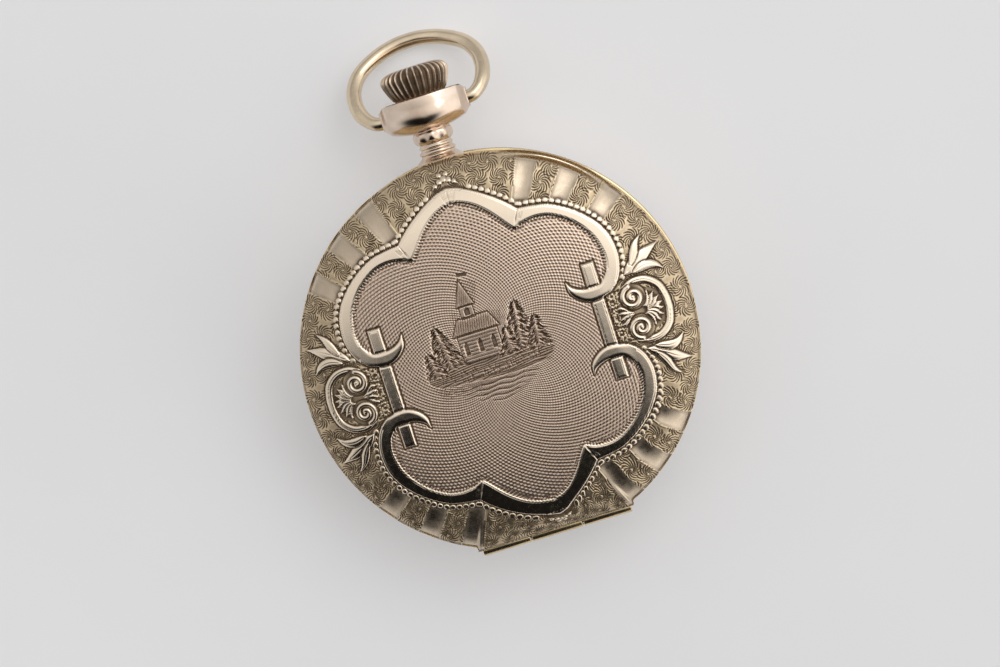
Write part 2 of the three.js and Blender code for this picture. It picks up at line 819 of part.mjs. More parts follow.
// ---------------------------------------------------------------- motion works and hands
add(
  "cannon_pinion",
  cut(
    join(
      plate(teeth(12, 0.84, 0.6, aimOf(CENTRE, MINUTE_WHEEL), true, 0.28), 6.1, 6.42, CENTRE),
      disc(0.45, 6.1, 8.0, CENTRE, 12),
    ),
    disc(0.31, 5, 9, CENTRE, 12),
  ),
  STEEL,
);
add(
  "minute_wheel",
  cut(
    join(
      plate(fineTeeth(36, 2.28, 2.02, aimOf(MINUTE_WHEEL, CENTRE)), 6.14, 6.36, MINUTE_WHEEL),
      plate(teeth(10, 0.66, 0.42, aimOf(MINUTE_WHEEL, CENTRE), true, 0.28), 6.34, 6.8, MINUTE_WHEEL),
    ),
    disc(0.2, 5, 7, MINUTE_WHEEL, 10),
  ),
  BRASS,
);
add(
  "hour_wheel",
  cut(
    join(
      plate(fineTeeth(40, 2.42, 2.16, aimOf(CENTRE, MINUTE_WHEEL)), 6.5, 6.72, CENTRE),
      disc(0.72, 6.5, 7.62, CENTRE, 14),
    ),
    disc(0.5, 5, 9, CENTRE, 14),
  ),
  BRASS,
);

// A hand lying along `aim` degrees from its own pivot: a ring, a slim blade and a small eye.
function hand(place, length, width, eye, low, high, bore, ring, aim) {
  const blade = plate(
    [
      [ring * 0.5, -width * 0.6],
      [length * 0.62, -width],
      [length * 0.72, -width * 0.35],
      [length, -0.04],
      [length, 0.04],
      [length * 0.72, width * 0.35],
      [length * 0.62, width],
      [ring * 0.5, width * 0.6],
    ],
    low,
    high,
    place,
    aim,
  );
  const [x, y] = polar(length * 0.66, aim);
  const spot = disc(eye, low, high, [place[0] + x, place[1] + y], 12, eye * 0.55);
  const open = disc(eye * 0.55, low - 1, high + 1, [place[0] + x, place[1] + y], 12);
  const hub = disc(ring, low, high, place, 14);
  return cut(join(blade, spot, hub), open, disc(bore, low - 1, high + 1, place, 14));
}
const HOUR_AIM = 180 - (10 + 9 / 60) * 30; // twelve points along -X on a hunter dial
const MINUTE_AIM = 180 - 9 * 6;
add("hour_hand", hand(CENTRE, 7.2, 0.3, 0.72, 7.64, 7.8, 0.5, 0.95, HOUR_AIM), BLUED);
add("minute_hand", hand(CENTRE, 11.2, 0.26, 0.6, 8.04, 8.18, 0.31, 0.75, MINUTE_AIM), BLUED);
add("seconds_hand", hand(FOURTH, 2.7, 0.09, 0.22, 7.42, 7.52, 0.2, 0.4, 200), BLUED);

// ---------------------------------------------------------------- plate and bridges
const bores = (places, low, high, r = PIVOT_BORE_R) =>
  places.map((place) => disc(r, low, high, place, 10));
{
  const base = disc(PLATE_R, PLATE_LOW, PLATE_HIGH, CENTRE, SIDES);
  const drumRecess = disc(5.75, 4.5, 5.8, BARREL, 32);
  const motionRecess = join(
    disc(2.65, 6.05, 8, CENTRE, 24),
    disc(2.5, 6.05, 8, MINUTE_WHEEL, 24),
  );
  const stemSlot = turnedAlongY([[0, 10.1], [0.55, 10.1], [0.55, 16], [0, 16]], 12);
  const pinionRoom = block(-1.4, 1.4, 11.3, 12.8, PLATE_LOW - 1, PLATE_HIGH + 1);
  const holes = [
    ...bores([THIRD, ESCAPE, PALLET, BALANCE], 4, 5.6),
    ...bores([CENTRE], 4, 8, 0.34),
    ...bores([FOURTH], 4, 8),
    ...bores([BARREL], 4, 6, 0.62),
    disc(0.95, 4.5, 5.1, BALANCE, 14),
  ];
  add(
    "main_plate",
    cut(base, drumRecess, motionRecess, stemSlot, pinionRoom, ...holes),
    NICKEL,
  );
}
add("minute_wheel_stud", disc(0.14, 6.08, 6.75, MINUTE_WHEEL, 10), STEEL);

// The three bridges cover the back of the movement; each is part of a disc.
const bridgeDisc = () => disc(14.0, BRIDGE_LOW, BRIDGE_HIGH, CENTRE, SIDES);
const FOOT_R = 0.85;
function foot(place) {
  return disc(FOOT_R, BRIDGE_HIGH - 0.05, PLATE_LOW - 0.03, place, 12);
}
const BARREL_FEET = [
  [-12.3, 4.6],
  [5.2, 11.2],
  [-2.2, -5.4],
];
const TRAIN_FEET = [
  [12.3, 2.6],
  [12.0, -3.5],
];
const COCK_FOOT = [-2.2, -11.9];
const PALLET_FOOT = [11.3, -6.2];
const screwHole = (place) => disc(0.4, 2, 5.2, place, 10);
const headRoom = (place) => disc(0.95, 2, 3.0, place, 14);
{
  const region = plate(
    [
      [-15, -3.6],
      [-3.4, -6.9],
      [0.2, -4.6],
      [2.0, -1.2],
      [2.9, 3.2],
      [8.0, 8.2],
      [11, 15],
      [-15, 15],
    ],
    2,
    4,
  );
  const body = join(bridgeDisc().intersect(region), ...BARREL_FEET.map((p) => foot(p)));
  add(
    "barrel_bridge",
    cut(
      body,
      ...bores([CENTRE], 2, 4, 0.34),
      ...bores([BARREL], 2, 4, 0.46),
      ...BARREL_FEET.map(headRoom),
      ...BARREL_FEET.map(screwHole),
      disc(0.4, 2, 4, CROWN_WHEEL, 10),
    ),
    NICKEL,
  );
}
{
  const region = plate(
    [
      [3.25, 3.1],
      [2.35, -1.2],
      [2.9, -3.9],
      [8.3, -4.6],
      [9.6, -4.8],
      [15, -6.0],
      [15, 10],
      [8.4, 8.1],
    ],
    2,
    4,
  );
  const body = join(bridgeDisc().intersect(region), ...TRAIN_FEET.map((p) => foot(p)));
  const clearBalance = disc(2.6, 2, 4, BALANCE, 20);
  add(
    "train_bridge",
    cut(
      body,
      clearBalance,
      ...bores([THIRD, FOURTH, ESCAPE], 2, 4),
      ...TRAIN_FEET.map(headRoom),
      ...TRAIN_FEET.map(screwHole),
    ),
    NICKEL,
  );
}
// The balance cock reaches over the wheel from its foot near the case.
{
  const arm = plate(
    [
      [-4.2, -12.9],
      [-1.2, -13.6],
      [0.6, -12.2],
      [6.3, -8.6],
      [6.3, -7.2],
      [4.9, -7.0],
      [-1.4, -9.9],
      [-3.9, -10.6],
    ],
    BRIDGE_LOW,
    3.22,
  );
  const boss = disc(1.0, BRIDGE_LOW, 3.22, BALANCE, 18);
  const leg = plate(
    [
      [-4.0, -12.7],
      [-1.3, -13.4],
      [-0.1, -12.4],
      [-0.55, -10.6],
      [-1.5, -10.2],
      [-3.7, -10.7],
    ],
    3.15,
    PLATE_LOW - 0.03,
  );
  add(
    "balance_cock",
    cut(
      join(arm, boss, leg),
      ...bores([BALANCE], 2, 4, 0.2),
      headRoom(COCK_FOOT),
      screwHole(COCK_FOOT),
    ),
    NICKEL,
  );
}
// The pallet bridge holds the lever's pivot under the balance's edge.
{
  const bar = plate(
    [
      [PALLET[0] - 0.5, PALLET[1] - 0.4],
      [PALLET[0] + 0.3, PALLET[1] - 0.6],
      [12.0, -7.0],
      [12.2, -5.6],
      [PALLET[0] + 0.3, PALLET[1] + 0.5],
      [PALLET[0] - 0.5, PALLET[1] + 0.4],
    ],
    3.93,
    4.14,
  );
  const leg = disc(0.8, 4.0, PLATE_LOW - 0.03, PALLET_FOOT, 12);
  const pivotHole = disc(0.2, 3, 5, PALLET, 10);
  const screwHole = disc(0.4, 3, 5.5, PALLET_FOOT, 10);
  add("pallet_bridge", cut(join(bar, leg), pivotHole, screwHole), NICKEL);
}

// ---------------------------------------------------------------- click, regulator, screws, jewels
add(
  "click",
  cut(
    plate(
      [
        [-0.75, 0.55],
        [-0.75, -0.45],
        [0.35, -0.55],
        [1.75, -0.4],
        [1.9, -0.22],
        [0.5, 0.55],
      ],
      WINDING_LOW,
      WINDING_HIGH,
      CLICK,
      -80,
    ),
    disc(0.3, 3, 5, CLICK, 10),
  ),
  STEEL,
);
add(
  "click_spring",
  plate(
    [
      [-11.4, 6.2],
      [-11.2, 6.2],
      [-10.75, 8.0],
      [-9.9, 9.6],
      [-8.6, 10.6],
      [-8.9, 11.0],
      [-10.3, 9.9],
      [-11.1, 8.1],
    ],
    WINDING_LOW,
    WINDING_HIGH,
  ),
  STEEL,
);
add("click_stud", disc(0.24, 3.54, 4.4, CLICK, 10), STEEL);
add("crown_wheel_core", disc(0.55, 3.54, 4.3, CROWN_WHEEL, 12), STEEL);
{
  const pointer = plate(
    [
      [0.9, -0.2],
      [3.0, -0.07],
      [3.0, 0.07],
      [0.9, 0.2],
    ],
    2.3,
    2.54,
    BALANCE,
    150,
  );
  const ring = disc(1.05, 2.3, 2.54, BALANCE, 20, 0.55);
  add("regulator", join(pointer, ring), STEEL);
}

// A slotted screw whose head lies in the counterbore at the back.
function screw(name, [x, y], headR, headLow, headHigh, shankR, shankHigh) {
  const body = turned(
    [
      [0, headLow],
      [headR, headLow],
      [headR, headHigh],
      [shankR, headHigh],
      [shankR, shankHigh],
      [0, shankHigh],
    ],
    [x, y],
    8,
  );
  const slot = block(x - headR - 0.1, x + headR + 0.1, y - 0.09, y + 0.09, headLow - 0.1, headLow + 0.14);
  add(name, cut(body, slot), BLUED);
}
BARREL_FEET.forEach((p, i) => screw(`barrel_bridge_screw_${i + 1}`, p, 0.85, 2.55, 2.94, 0.34, 4.8));
TRAIN_FEET.forEach((p, i) => screw(`train_bridge_screw_${i + 1}`, p, 0.85, 2.55, 2.94, 0.34, 4.8));
screw("balance_cock_screw", COCK_FOOT, 0.85, 2.55, 2.94, 0.34, 4.8);
screw("pallet_bridge_screw", PALLET_FOOT, 0.6, 3.6, 3.9, 0.34, 4.8);
const CASE_SCREWS = [polar(13.62, 205), polar(13.62, 38)];
CASE_SCREWS.forEach((p, i) => screw(`case_screw_${i + 1}`, p, 1.0, 3.95, 4.26, 0.3, 4.85));

// Jewels are pressed into the back of the bridges over the pivots.
function jewel(name, [x, y], low, high, r) {
  add(name, disc(r, low, high, [x, y], 12), RUBY);
}
jewel("balance_cap_jewel", BALANCE, 2.3, 2.56, 0.5);

export default watch;
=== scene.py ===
# The look of the fob watch: a small gold hunter case, lying closed on a pale table.
# The working unit of the shape code is the millimetre; meshes are written in metres.
import math

import bmesh
import bpy
import numpy as np
from mathutils import Matrix, Vector


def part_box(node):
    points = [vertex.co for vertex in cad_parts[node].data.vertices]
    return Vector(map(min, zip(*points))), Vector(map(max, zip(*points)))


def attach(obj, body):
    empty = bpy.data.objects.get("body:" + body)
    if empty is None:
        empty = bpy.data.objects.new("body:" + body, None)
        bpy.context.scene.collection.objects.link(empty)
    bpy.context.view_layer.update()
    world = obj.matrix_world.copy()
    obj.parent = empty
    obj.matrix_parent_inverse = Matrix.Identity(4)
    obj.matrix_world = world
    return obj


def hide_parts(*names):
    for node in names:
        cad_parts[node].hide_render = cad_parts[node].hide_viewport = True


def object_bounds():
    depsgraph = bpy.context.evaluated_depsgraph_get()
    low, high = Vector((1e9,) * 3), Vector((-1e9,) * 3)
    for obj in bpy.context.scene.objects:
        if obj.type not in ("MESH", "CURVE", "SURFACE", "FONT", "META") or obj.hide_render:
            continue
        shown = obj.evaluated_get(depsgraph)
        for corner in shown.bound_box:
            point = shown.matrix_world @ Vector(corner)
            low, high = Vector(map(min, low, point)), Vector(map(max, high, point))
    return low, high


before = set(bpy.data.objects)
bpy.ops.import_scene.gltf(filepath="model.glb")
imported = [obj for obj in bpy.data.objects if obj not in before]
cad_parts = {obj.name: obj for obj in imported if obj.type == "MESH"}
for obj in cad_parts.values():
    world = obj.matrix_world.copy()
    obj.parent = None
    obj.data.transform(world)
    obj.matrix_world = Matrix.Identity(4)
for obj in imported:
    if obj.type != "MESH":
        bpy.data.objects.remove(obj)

CAD_BOX = [list(corner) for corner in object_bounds()]
MM = 0.001

# ------------------------------------------------------------------ sizes, from the frame


def box_mm(node):
    low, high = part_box(node)
    return np.array(low) / MM, np.array(high) / MM


FRONT_LOW, FRONT_HIGH = box_mm("front_cover")
BACK_LOW, BACK_HIGH = box_mm("back_cover")
CASE_R = BACK_HIGH[0]
THICKNESS = FRONT_HIGH[2]
MID_Z = THICKNESS / 2
RIM = 3.6  # a cover's rim above its own outside face
WALL = 0.42
CHORD = 16.4  # the covers' straight edge, from the centre
CHORD_HALF = 7.1
HINGE_Y = -16.5
KNUCKLE_R = 0.5
PIN_BORE_R = 0.31
FRONT_HINGE_Z, BACK_HINGE_Z = 7.7, 3.7
PIVOT_Y = 21.9
BOW_TILT = math.radians(-38.9)
SEED = 7


# ------------------------------------------------------------------ mesh helpers


def linked(name, data):
    """A new object in the scene around a mesh, a light or a camera."""
    obj = bpy.data.objects.new(name, data)
    bpy.context.scene.collection.objects.link(obj)
    return obj


def make_object(name, verts, faces, material, smooth=False):
    """A mesh from lists of points and faces."""
    mesh = bpy.data.meshes.new(name)
    mesh.from_pydata((np.asarray(verts, float) * MM).tolist(), [], faces)
    mesh.validate()
    if smooth:
        mesh.polygons.foreach_set("use_smooth", [True] * len(mesh.polygons))
    mesh.materials.append(material)
    mesh.update()
    return linked(name, mesh)


def big_mesh(name, verts, quads, tris, material, attributes=None):
    """A smooth mesh with very many faces, from index arrays."""
    mesh = bpy.data.meshes.new(name)
    quads = np.asarray(quads, np.int32).reshape(-1, 4)
    tris = np.asarray(tris, np.int32).reshape(-1, 3)
    loops = np.concatenate([quads.ravel(), tris.ravel()])
    starts = np.concatenate([np.arange(len(quads)) * 4, len(quads) * 4 + np.arange(len(tris)) * 3])
    mesh.vertices.add(len(verts))
    mesh.vertices.foreach_set("co", (np.asarray(verts, np.float64) * MM).ravel())
    mesh.loops.add(len(loops))
    mesh.loops.foreach_set("vertex_index", loops)
    mesh.polygons.add(len(starts))
    mesh.polygons.foreach_set("loop_start", starts.astype(np.int32))
    mesh.update(calc_edges=True)
    mesh.polygons.foreach_set("use_smooth", [True] * len(mesh.polygons))
    for key, values in (attributes or {}).items():
        layer = mesh.attributes.new(key, "FLOAT", "POINT")
        layer.data.foreach_set("value", np.asarray(values, np.float32))
    mesh.materials.append(material)
    return linked(name, mesh)


def ring_surface(rings, closed_centre=None):
    """Join rings of points, each the same size as the one before, or half or double it.

    Returns vertices, quads and triangles. A closed_centre point closes the first ring.
    """
    counts = [len(ring) for ring in rings]
    starts = np.concatenate([[0], np.cumsum(counts)])
    quads, tris = [], []
    for (a, n), (b, m) in zip(zip(starts, counts), zip(starts[1:], counts[1:])):
        if n == m:
            i = np.arange(n)
            j = (i + 1) % n
            quads.append(np.stack([a + i, b + i, b + j, a + j], 1))
        elif m == 2 * n:
            i = np.arange(n)
            j = (i + 1) % n
            fine = 2 * i
            tris.append(np.stack([a + i, b + fine, b + fine + 1], 1))
            tris.append(np.stack([a + i, b + fine + 1, a + j], 1))
            tris.append(np.stack([a + j, b + fine + 1, b + (fine + 2) % m], 1))
        else:
            i = np.arange(m)
            j = (i + 1) % m
            fine = 2 * i
            tris.append(np.stack([a + fine, b + i, a + fine + 1], 1))
            tris.append(np.stack([a + fine + 1, b + i, b + j], 1))
            tris.append(np.stack([a + fine + 1, b + j, a + (fine + 2) % n], 1))
    verts = np.concatenate(rings)
    if closed_centre is not None:
        last = len(verts)
        verts = np.concatenate([verts, [closed_centre]])
        i = np.arange(counts[0])
        tris.append(np.stack([np.full(counts[0], last), i, (i + 1) % counts[0]], 1))
    quads = np.concatenate(quads) if quads else np.zeros((0, 4), int)
    tris = np.concatenate(tris) if tris else np.zeros((0, 3), int)
    return verts, quads, tris


def full_circle(count):
    return np.linspace(0, 2 * np.pi, count, endpoint=False)


def level_ring(radius, angle, height):
    """Points round Z at one height."""
    return np.stack([radius * np.cos(angle), radius * np.sin(angle), np.full(len(angle), height)], 1)


def strip_quads(rows, count, closed):
    """Quads between neighbouring rings of count points; closed joins the last ring to the first."""
    i = np.arange(count)
    j = (i + 1) % count
    quads = []
    for k in range(rows if closed else rows - 1):
        a, b = k * count, (k + 1) % rows * count
        quads.append(np.stack([a + i, a + j, b + j, b + i], 1))
    return np.concatenate(quads)


def case_piece(obj, body, slot, *nodes):
    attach(obj, body)
    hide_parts(*nodes)


def ring_body(name, rings, material):
    """A closed skin over rings of points that follow a closed profile."""
    quads = strip_quads(len(rings), len(rings[0]), True)
    obj = big_mesh(name, np.concatenate(rings), quads, [], material)
    clean(obj)
    return obj


def lathe(name, profile, material, segments, shape=None):
    """A closed [radius, height] profile turned about Z; shape may vary a row's radius."""
    angle = full_circle(segments)
    rings = []
    for r, h in profile:
        radius = np.full(segments, r) if shape is None else shape(angle, r, h)
        rings.append(level_ring(radius, angle, h))
    return ring_body(name, rings, material)


def tube_x(name, rows, z, material, segments=40):
    """A closed [radius, x] profile turned about the hinge axis at height z."""
    angle = full_circle(segments)
    rings = []
    for r, x in rows:
        ring = [np.full(segments, x), HINGE_Y + r * np.cos(angle), z + r * np.sin(angle)]
        rings.append(np.stack(ring, 1))
    return ring_body(name, rings, material)


def clean(obj):
    """Merges doubled points and makes the faces look outward."""
    bm = bmesh.new()
    bm.from_mesh(obj.data)
    bmesh.ops.remove_doubles(bm, verts=bm.verts, dist=1e-7)
    bmesh.ops.dissolve_degenerate(bm, dist=1e-8, edges=bm.edges)
    bmesh.ops.recalc_face_normals(bm, faces=bm.faces)
    bm.to_mesh(obj.data)
    bm.free()


def rounded(points, radius, steps):
    """A closed polygon profile with its corners rounded."""
    points = [np.array(p, float) for p in points]
    out = []
    for i, here in enumerate(points):
        before, after = points[i - 1], points[(i + 1) % len(points)]
        to_before, to_after = before - here, after - here
        lengths = np.linalg.norm(to_before), np.linalg.norm(to_after)
        cut = min(radius, 0.45 * lengths[0], 0.45 * lengths[1])
        a = here + to_before / lengths[0] * cut
        b = here + to_after / lengths[1] * cut
        for t in np.linspace(0, 1, steps + 1):
            out.append((1 - t) ** 2 * a + 2 * t * (1 - t) * here + t * t * b)
    return np.array(out)


def smooth_curve(points, per_span=8, closed=False):
    """A Catmull-Rom curve through points."""
    points = np.asarray(points, float)
    if closed:
        padded = np.concatenate([points[-1:], points, points[:2]])
    else:
        before, after = 2 * points[0] - points[1], 2 * points[-1] - points[-2]
        padded = np.concatenate([[before], points, [after]])
    out = []
    for k in range(len(padded) - 3):
        p0, p1, p2, p3 = padded[k : k + 4]
        t = np.linspace(0, 1, per_span, endpoint=False)[:, None]
        bend = (2 * p0 - 5 * p1 + 4 * p2 - p3) * t**2
        twist = (3 * p1 - p0 - 3 * p2 + p3) * t**3
        out.append(0.5 * (2 * p1 + (p2 - p0) * t + bend + twist))
    if not closed:
        out.append(points[-1:])
    return np.concatenate(out)


def soft_step(t):
    t = np.clip(t, 0, 1)
    return t * t * (3 - 2 * t)


# ------------------------------------------------------------------ engraving


class Relief:
    """A height map over a rectangle, in millimetres, cut and raised stroke by stroke."""

    def __init__(self, low, high, step):
        self.low = np.array(low, float)
        self.step = step
        self.nx, self.ny = (np.ceil((np.array(high) - low) / step)).astype(int) + 1
        self.x = low[0] + np.arange(self.nx) * step
        self.y = low[1] + np.arange(self.ny) * step
        self.grid = np.meshgrid(self.x, self.y)
        self.h = np.zeros((self.ny, self.nx), np.float32)
        self.polish = np.zeros_like(self.h)
        # darkening: tarnish in cuts and ground, plus painted shade along the claw, the bar and the flute
        # walls
        self.dirt_and_shade = np.zeros_like(self.h)
        self.field = np.zeros_like(self.h)
        self.mask = np.zeros_like(self.h)

    def window(self, points, reach):
        points = np.asarray(points)
        a = np.floor((points.min(0) - reach - self.low) / self.step).astype(int)
        b = np.ceil((points.max(0) + reach - self.low) / self.step).astype(int) + 1
        ix0, iy0 = max(a[0], 0), max(a[1], 0)
        ix1, iy1 = min(b[0], self.nx), min(b[1], self.ny)
        if ix1 <= ix0 or iy1 <= iy0:
            return None
        return slice(iy0, iy1), slice(ix0, ix1)

    def distance(self, points, reach):
        """The window around a polyline, with the distance to it and the share along it."""
        points = np.asarray(points, float)
        win = self.window(points, reach)
        if win is None:
            return None
        gx, gy = np.meshgrid(self.x[win[1]], self.y[win[0]])
        best = np.full(gx.shape, 1e9)
        along = np.zeros(gx.shape)
        spans = np.diff(points, axis=0)
        lengths = np.linalg.norm(spans, axis=1)
        ends = np.concatenate([[0], np.cumsum(lengths)])
        total = max(ends[-1], 1e-9)
        for p, d, length, start in zip(points, spans, lengths, ends):
            if length < 1e-9:
                continue
            t = np.clip(((gx - p[0]) * d[0] + (gy - p[1]) * d[1]) / length**2, 0, 1)
            dist = np.hypot(gx - p[0] - t * d[0], gy - p[1] - t * d[1])
            closer = dist < best
            best = np.where(closer, dist, best)
            along = np.where(closer, (start + t * length) / total, along)
        return win, best, along

    def cut(self, points, width, depth, taper=True, dirt_and_shade=0.7):
        """A V cut; a tapered one swells in the middle, as a graver leaves it."""
        found = self.distance(points, width)
        if found is None:
            return
        win, dist, along = found
        half = width / 2 * (np.sqrt(np.clip(4 * along * (1 - along), 0.02, 1)) if taper else 1.0)
        v = np.clip(1 - dist / half, 0, 1)
        self.h[win] -= depth * v
        self.dirt_and_shade[win] = np.maximum(self.dirt_and_shade[win], dirt_and_shade * np.clip(2 * v, 0, 1))

    def raise_line(self, points, width, height, polish=0.0):
        found = self.distance(points, width)
        if found is None:
            return
        win, dist, _ = found
        v = np.sqrt(np.clip(1 - (dist / (width / 2)) ** 2, 0, 1))
        self.h[win] = np.where(v > 0, np.maximum(self.h[win], height * v), self.h[win])
        self.polish[win] = np.maximum(self.polish[win], polish * (v > 0))
        self.dirt_and_shade[win] *= v == 0

    def leaf(self, points, width, height, polish=0.8):
        """A tapered raised leaf with a fine vein and a dark line round it."""
        found = self.distance(points, width)
        if found is None:
            return
        win, dist, along = found
        half = width / 2 * np.clip(np.sin(np.pi * np.clip(along, 0, 1) ** 0.8), 0.02, 1)
        v = np.sqrt(np.clip(1 - (dist / half) ** 2, 0, 1))
        edge = np.clip(1 - np.abs(dist - half - 0.06) / 0.08, 0, 1)
        edge *= (along > 0.02) & (along < 0.98)
        self.h[win] -= 0.06 * edge
        self.dirt_and_shade[win] = np.maximum(self.dirt_and_shade[win] * (v == 0), edge)
        self.h[win] = np.where(v > 0, height * v, self.h[win])
        self.polish[win] = np.where(v > 0, polish, self.polish[win])
        vein = np.clip(1 - dist / 0.05, 0, 1) * (v > 0) * (along > 0.1) * (along < 0.8)
        self.h[win] -= 0.04 * vein

    def bead(self, centre, radius, height, polish=0.6, stretch=1.0, direction=(1, 0)):
        win = self.window([centre], radius * stretch)
        if win is None:
            return
        gx, gy = np.meshgrid(self.x[win[1]] - centre[0], self.y[win[0]] - centre[1])
        u = gx * direction[0] + gy * direction[1]
        w = -gx * direction[1] + gy * direction[0]
        v = np.sqrt(np.clip(1 - (u / (radius * stretch)) ** 2 - (w / radius) ** 2, 0, 1))
        self.h[win] = np.where(v > 0, np.maximum(self.h[win], height * v), self.h[win])
        self.polish[win] = np.maximum(self.polish[win], polish * (v > 0))
        self.dirt_and_shade[win] *= v == 0

    def inside(self, polygon):
        """1 inside a closed polygon, by counting crossings."""
        polygon = np.asarray(polygon, float)
        gx, gy = self.grid
        crossings = np.zeros(gx.shape, bool)
        for (x0, y0), (x1, y1) in zip(polygon, np.roll(polygon, -1, 0)):
            if y0 == y1:
                continue
            spans = (gy > min(y0, y1)) & (gy <= max(y0, y1))
            crossings ^= spans & (gx < x0 + (gy - y0) * (x1 - x0) / (y1 - y0))
        return crossings

    def near(self, points, reach):
        """Distance to a long line over the whole map, capped at reach."""
        out = np.full(self.h.shape, reach, np.float32)
        points = np.asarray(points, float)
        for a, b in zip(points[:-1], points[1:]):
            found = self.distance([a, b], reach)
            if found is None:
                continue
            win, dist, _ = found
            out[win] = np.minimum(out[win], dist)
        return out

    def sample(self, field, x, y):
        u = np.clip((x - self.low[0]) / self.step, 0, self.nx - 1.001)
        v = np.clip((y - self.low[1]) / self.step, 0, self.ny - 1.001)
        i, j = u.astype(int), v.astype(int)
        fu, fv = u - i, v - j
        return (
            field[j, i] * (1 - fu) * (1 - fv)
            + field[j, i + 1] * fu * (1 - fv)
            + field[j + 1, i] * (1 - fu) * fv
            + field[j + 1, i + 1] * fu * fv
        )


def blurred(field, radius):
    """A box blur done twice, by running sums."""
    out = field.astype(np.float64)
    for axis in (0, 1, 0, 1):
        n = radius
        pad = [(0, 0), (0, 0)]
        pad[axis] = (n + 1, n)
        total = np.cumsum(np.pad(out, pad, mode="edge"), axis=axis)
        width = 2 * n + 1
        if axis == 0:
            out = (total[width:, :] - total[:-width, :]) / width
        else:
            out = (total[:, width:] - total[:, :-width]) / width
    return out


# The quarter of the ornament with x and y positive; the rest mirrors it.
# Each edge of the ribbon is two curves that meet in an inward cusp.
FIELD_TIP = [
    (0, 13.72), (0.85, 13.5), (1.7, 13.08), (2.5, 12.45), (3.25, 11.65), (4.1, 10.55), (4.62, 9.95),
]
FIELD_LOBE = [
    (4.62, 9.95), (5.6, 10.32), (6.9, 10.42), (8.2, 10.05), (9.7, 8.95), (10.8, 7.4), (11.25, 5.8),
    (11.2, 4.7), (10.85, 3.9), (10.2, 3.35),
]
RIBBON_TIP = [(0, 15.05), (1.1, 14.75), (2.75, 13.85), (4.25, 12.75), (5.4, 11.65)]
RIBBON_LOBE = [
    (5.4, 11.65), (6.6, 11.5), (8.0, 11.2), (9.55, 10.35), (11.0, 9.1), (12.05, 7.6), (12.45, 6.0),
    (12.35, 4.5), (11.85, 3.3), (11.0, 2.5), (9.9, 2.2),
]
FIELD_EDGE = np.concatenate([smooth_curve(FIELD_TIP, 6), smooth_curve(FIELD_LOBE, 6)])
RIBBON_EDGE = np.concatenate([smooth_curve(RIBBON_TIP, 6), smooth_curve(RIBBON_LOBE, 6)])
BAR_X, BAR_HALF, BAR_TOP = 9.65, 0.56, 5.35  # a bar's middle, half width and square end
FLUTES = (25.5, 38.5, 52)  # bearings from the pendant's axis, in degrees
FLUTE_FOOT = 12.2  # the flutes run outward from this radius


def offset_line(points, amount):
    """The points moved sideways, to the left of their direction when amount is positive."""
    points = np.asarray(points, float)
    ahead = np.gradient(points, axis=0)
    ahead /= np.linalg.norm(ahead, axis=1)[:, None] + 1e-12
    return points + amount * np.stack([-ahead[:, 1], ahead[:, 0]], 1)


def stations(points, pitch, start=0.0):
    """Points every pitch along a line, with the direction there."""
    points = np.asarray(points, float)
    spans = np.diff(points, axis=0)
    lengths = np.linalg.norm(spans, axis=1)
    ends = np.concatenate([[0], np.cumsum(lengths)])
    for s in np.arange(start, ends[-1], pitch):
        k = min(np.searchsorted(ends, s, side="right") - 1, len(spans) - 1)
        direction = spans[k] / max(lengths[k], 1e-9)
        yield points[k] + direction * (s - ends[k]), direction


def spiral(centre, radius, turns, start, inner):
    t = np.linspace(0, 1, 40)
    angle = np.radians(start) + 2 * np.pi * turns * t
    r = radius * (1 - t) + inner * t
    return np.stack([centre[0] + r * np.cos(angle), centre[1] + r * np.sin(angle)], 1)


def whorl(relief, centre, radius, strokes, spin, start):
    """A rosette of curved graver cuts."""
    t = np.linspace(0, 1, 6)
    r = radius * (0.1 + 0.9 * t)
    for k in range(strokes):
        angle = start + 2 * np.pi * k / strokes + spin * 1.5 * t
        points = np.stack([centre[0] + r * np.cos(angle), centre[1] + r * np.sin(angle)], 1)
        relief.cut(points, 0.14, 0.12)


def border_relief(step):
    """The quarter map of the whole cover: ribbon, bars, beads, flutes, scrolls and palmette."""
    relief = Relief((0.0, 0.0), (17.8, 17.8), step)
    cut_scrolls(relief)
    in_field = sink_field(relief)
    cut_flutes(relief, in_field)
    band = raise_ribbon(relief, in_field)
    raise_bar(relief)
    raise_claw(relief, band)
    set_beads(relief)
    raise_palmette(relief)
    # plain line next to the rim
    radius = np.hypot(*relief.grid)
    relief.h -= 0.05 * np.clip(1 - np.abs(radius - 17.3) / 0.08, 0, 1)
    for channel in (relief.h, relief.polish, relief.dirt_and_shade, relief.field):
        channel[0, :] = channel[1, :]
        channel[:, 0] = channel[:, 1]
    return relief


def cut_scrolls(relief):
    """Running scrolls of graver cuts over the outer ring, and the dotted ground by the palmette."""
    gx, gy = relief.grid
    rng = np.random.default_rng(SEED)
    rows = ((16.7, 0.86, 15), (15.3, 0.86, 13), (13.9, 0.82, 12), (12.7, 0.7, 11))
    for ring_r, size, count in rows:
        for k in range(count):
            bearing_k = math.radians((k + rng.uniform(0.35, 0.65)) * 90 / count)
            centre = ring_r * np.array([math.sin(bearing_k), math.cos(bearing_k)])
            spin = 1 if k % 2 else -1
            whorl(relief, centre, size * rng.uniform(0.95, 1.15), 13, spin, rng.uniform(0, 6))
    # old tarnish lies over the scrolls
    relief.dirt_and_shade = np.maximum(relief.dirt_and_shade, 0.42)
    # the ground between bar and palmette: fine punched dots
    ground = (gx > BAR_X + BAR_HALF) & (np.hypot(gx, gy) < 12.6) & (gy < 2.3)
    relief.h[ground] = -0.12
    relief.dirt_and_shade[ground] = 0.9
    for _ in range(260):
        spot = np.array([rng.uniform(10.2, 12.7), rng.uniform(0, 2.3)])
        relief.bead(spot, 0.075, -0.04, 0.0)


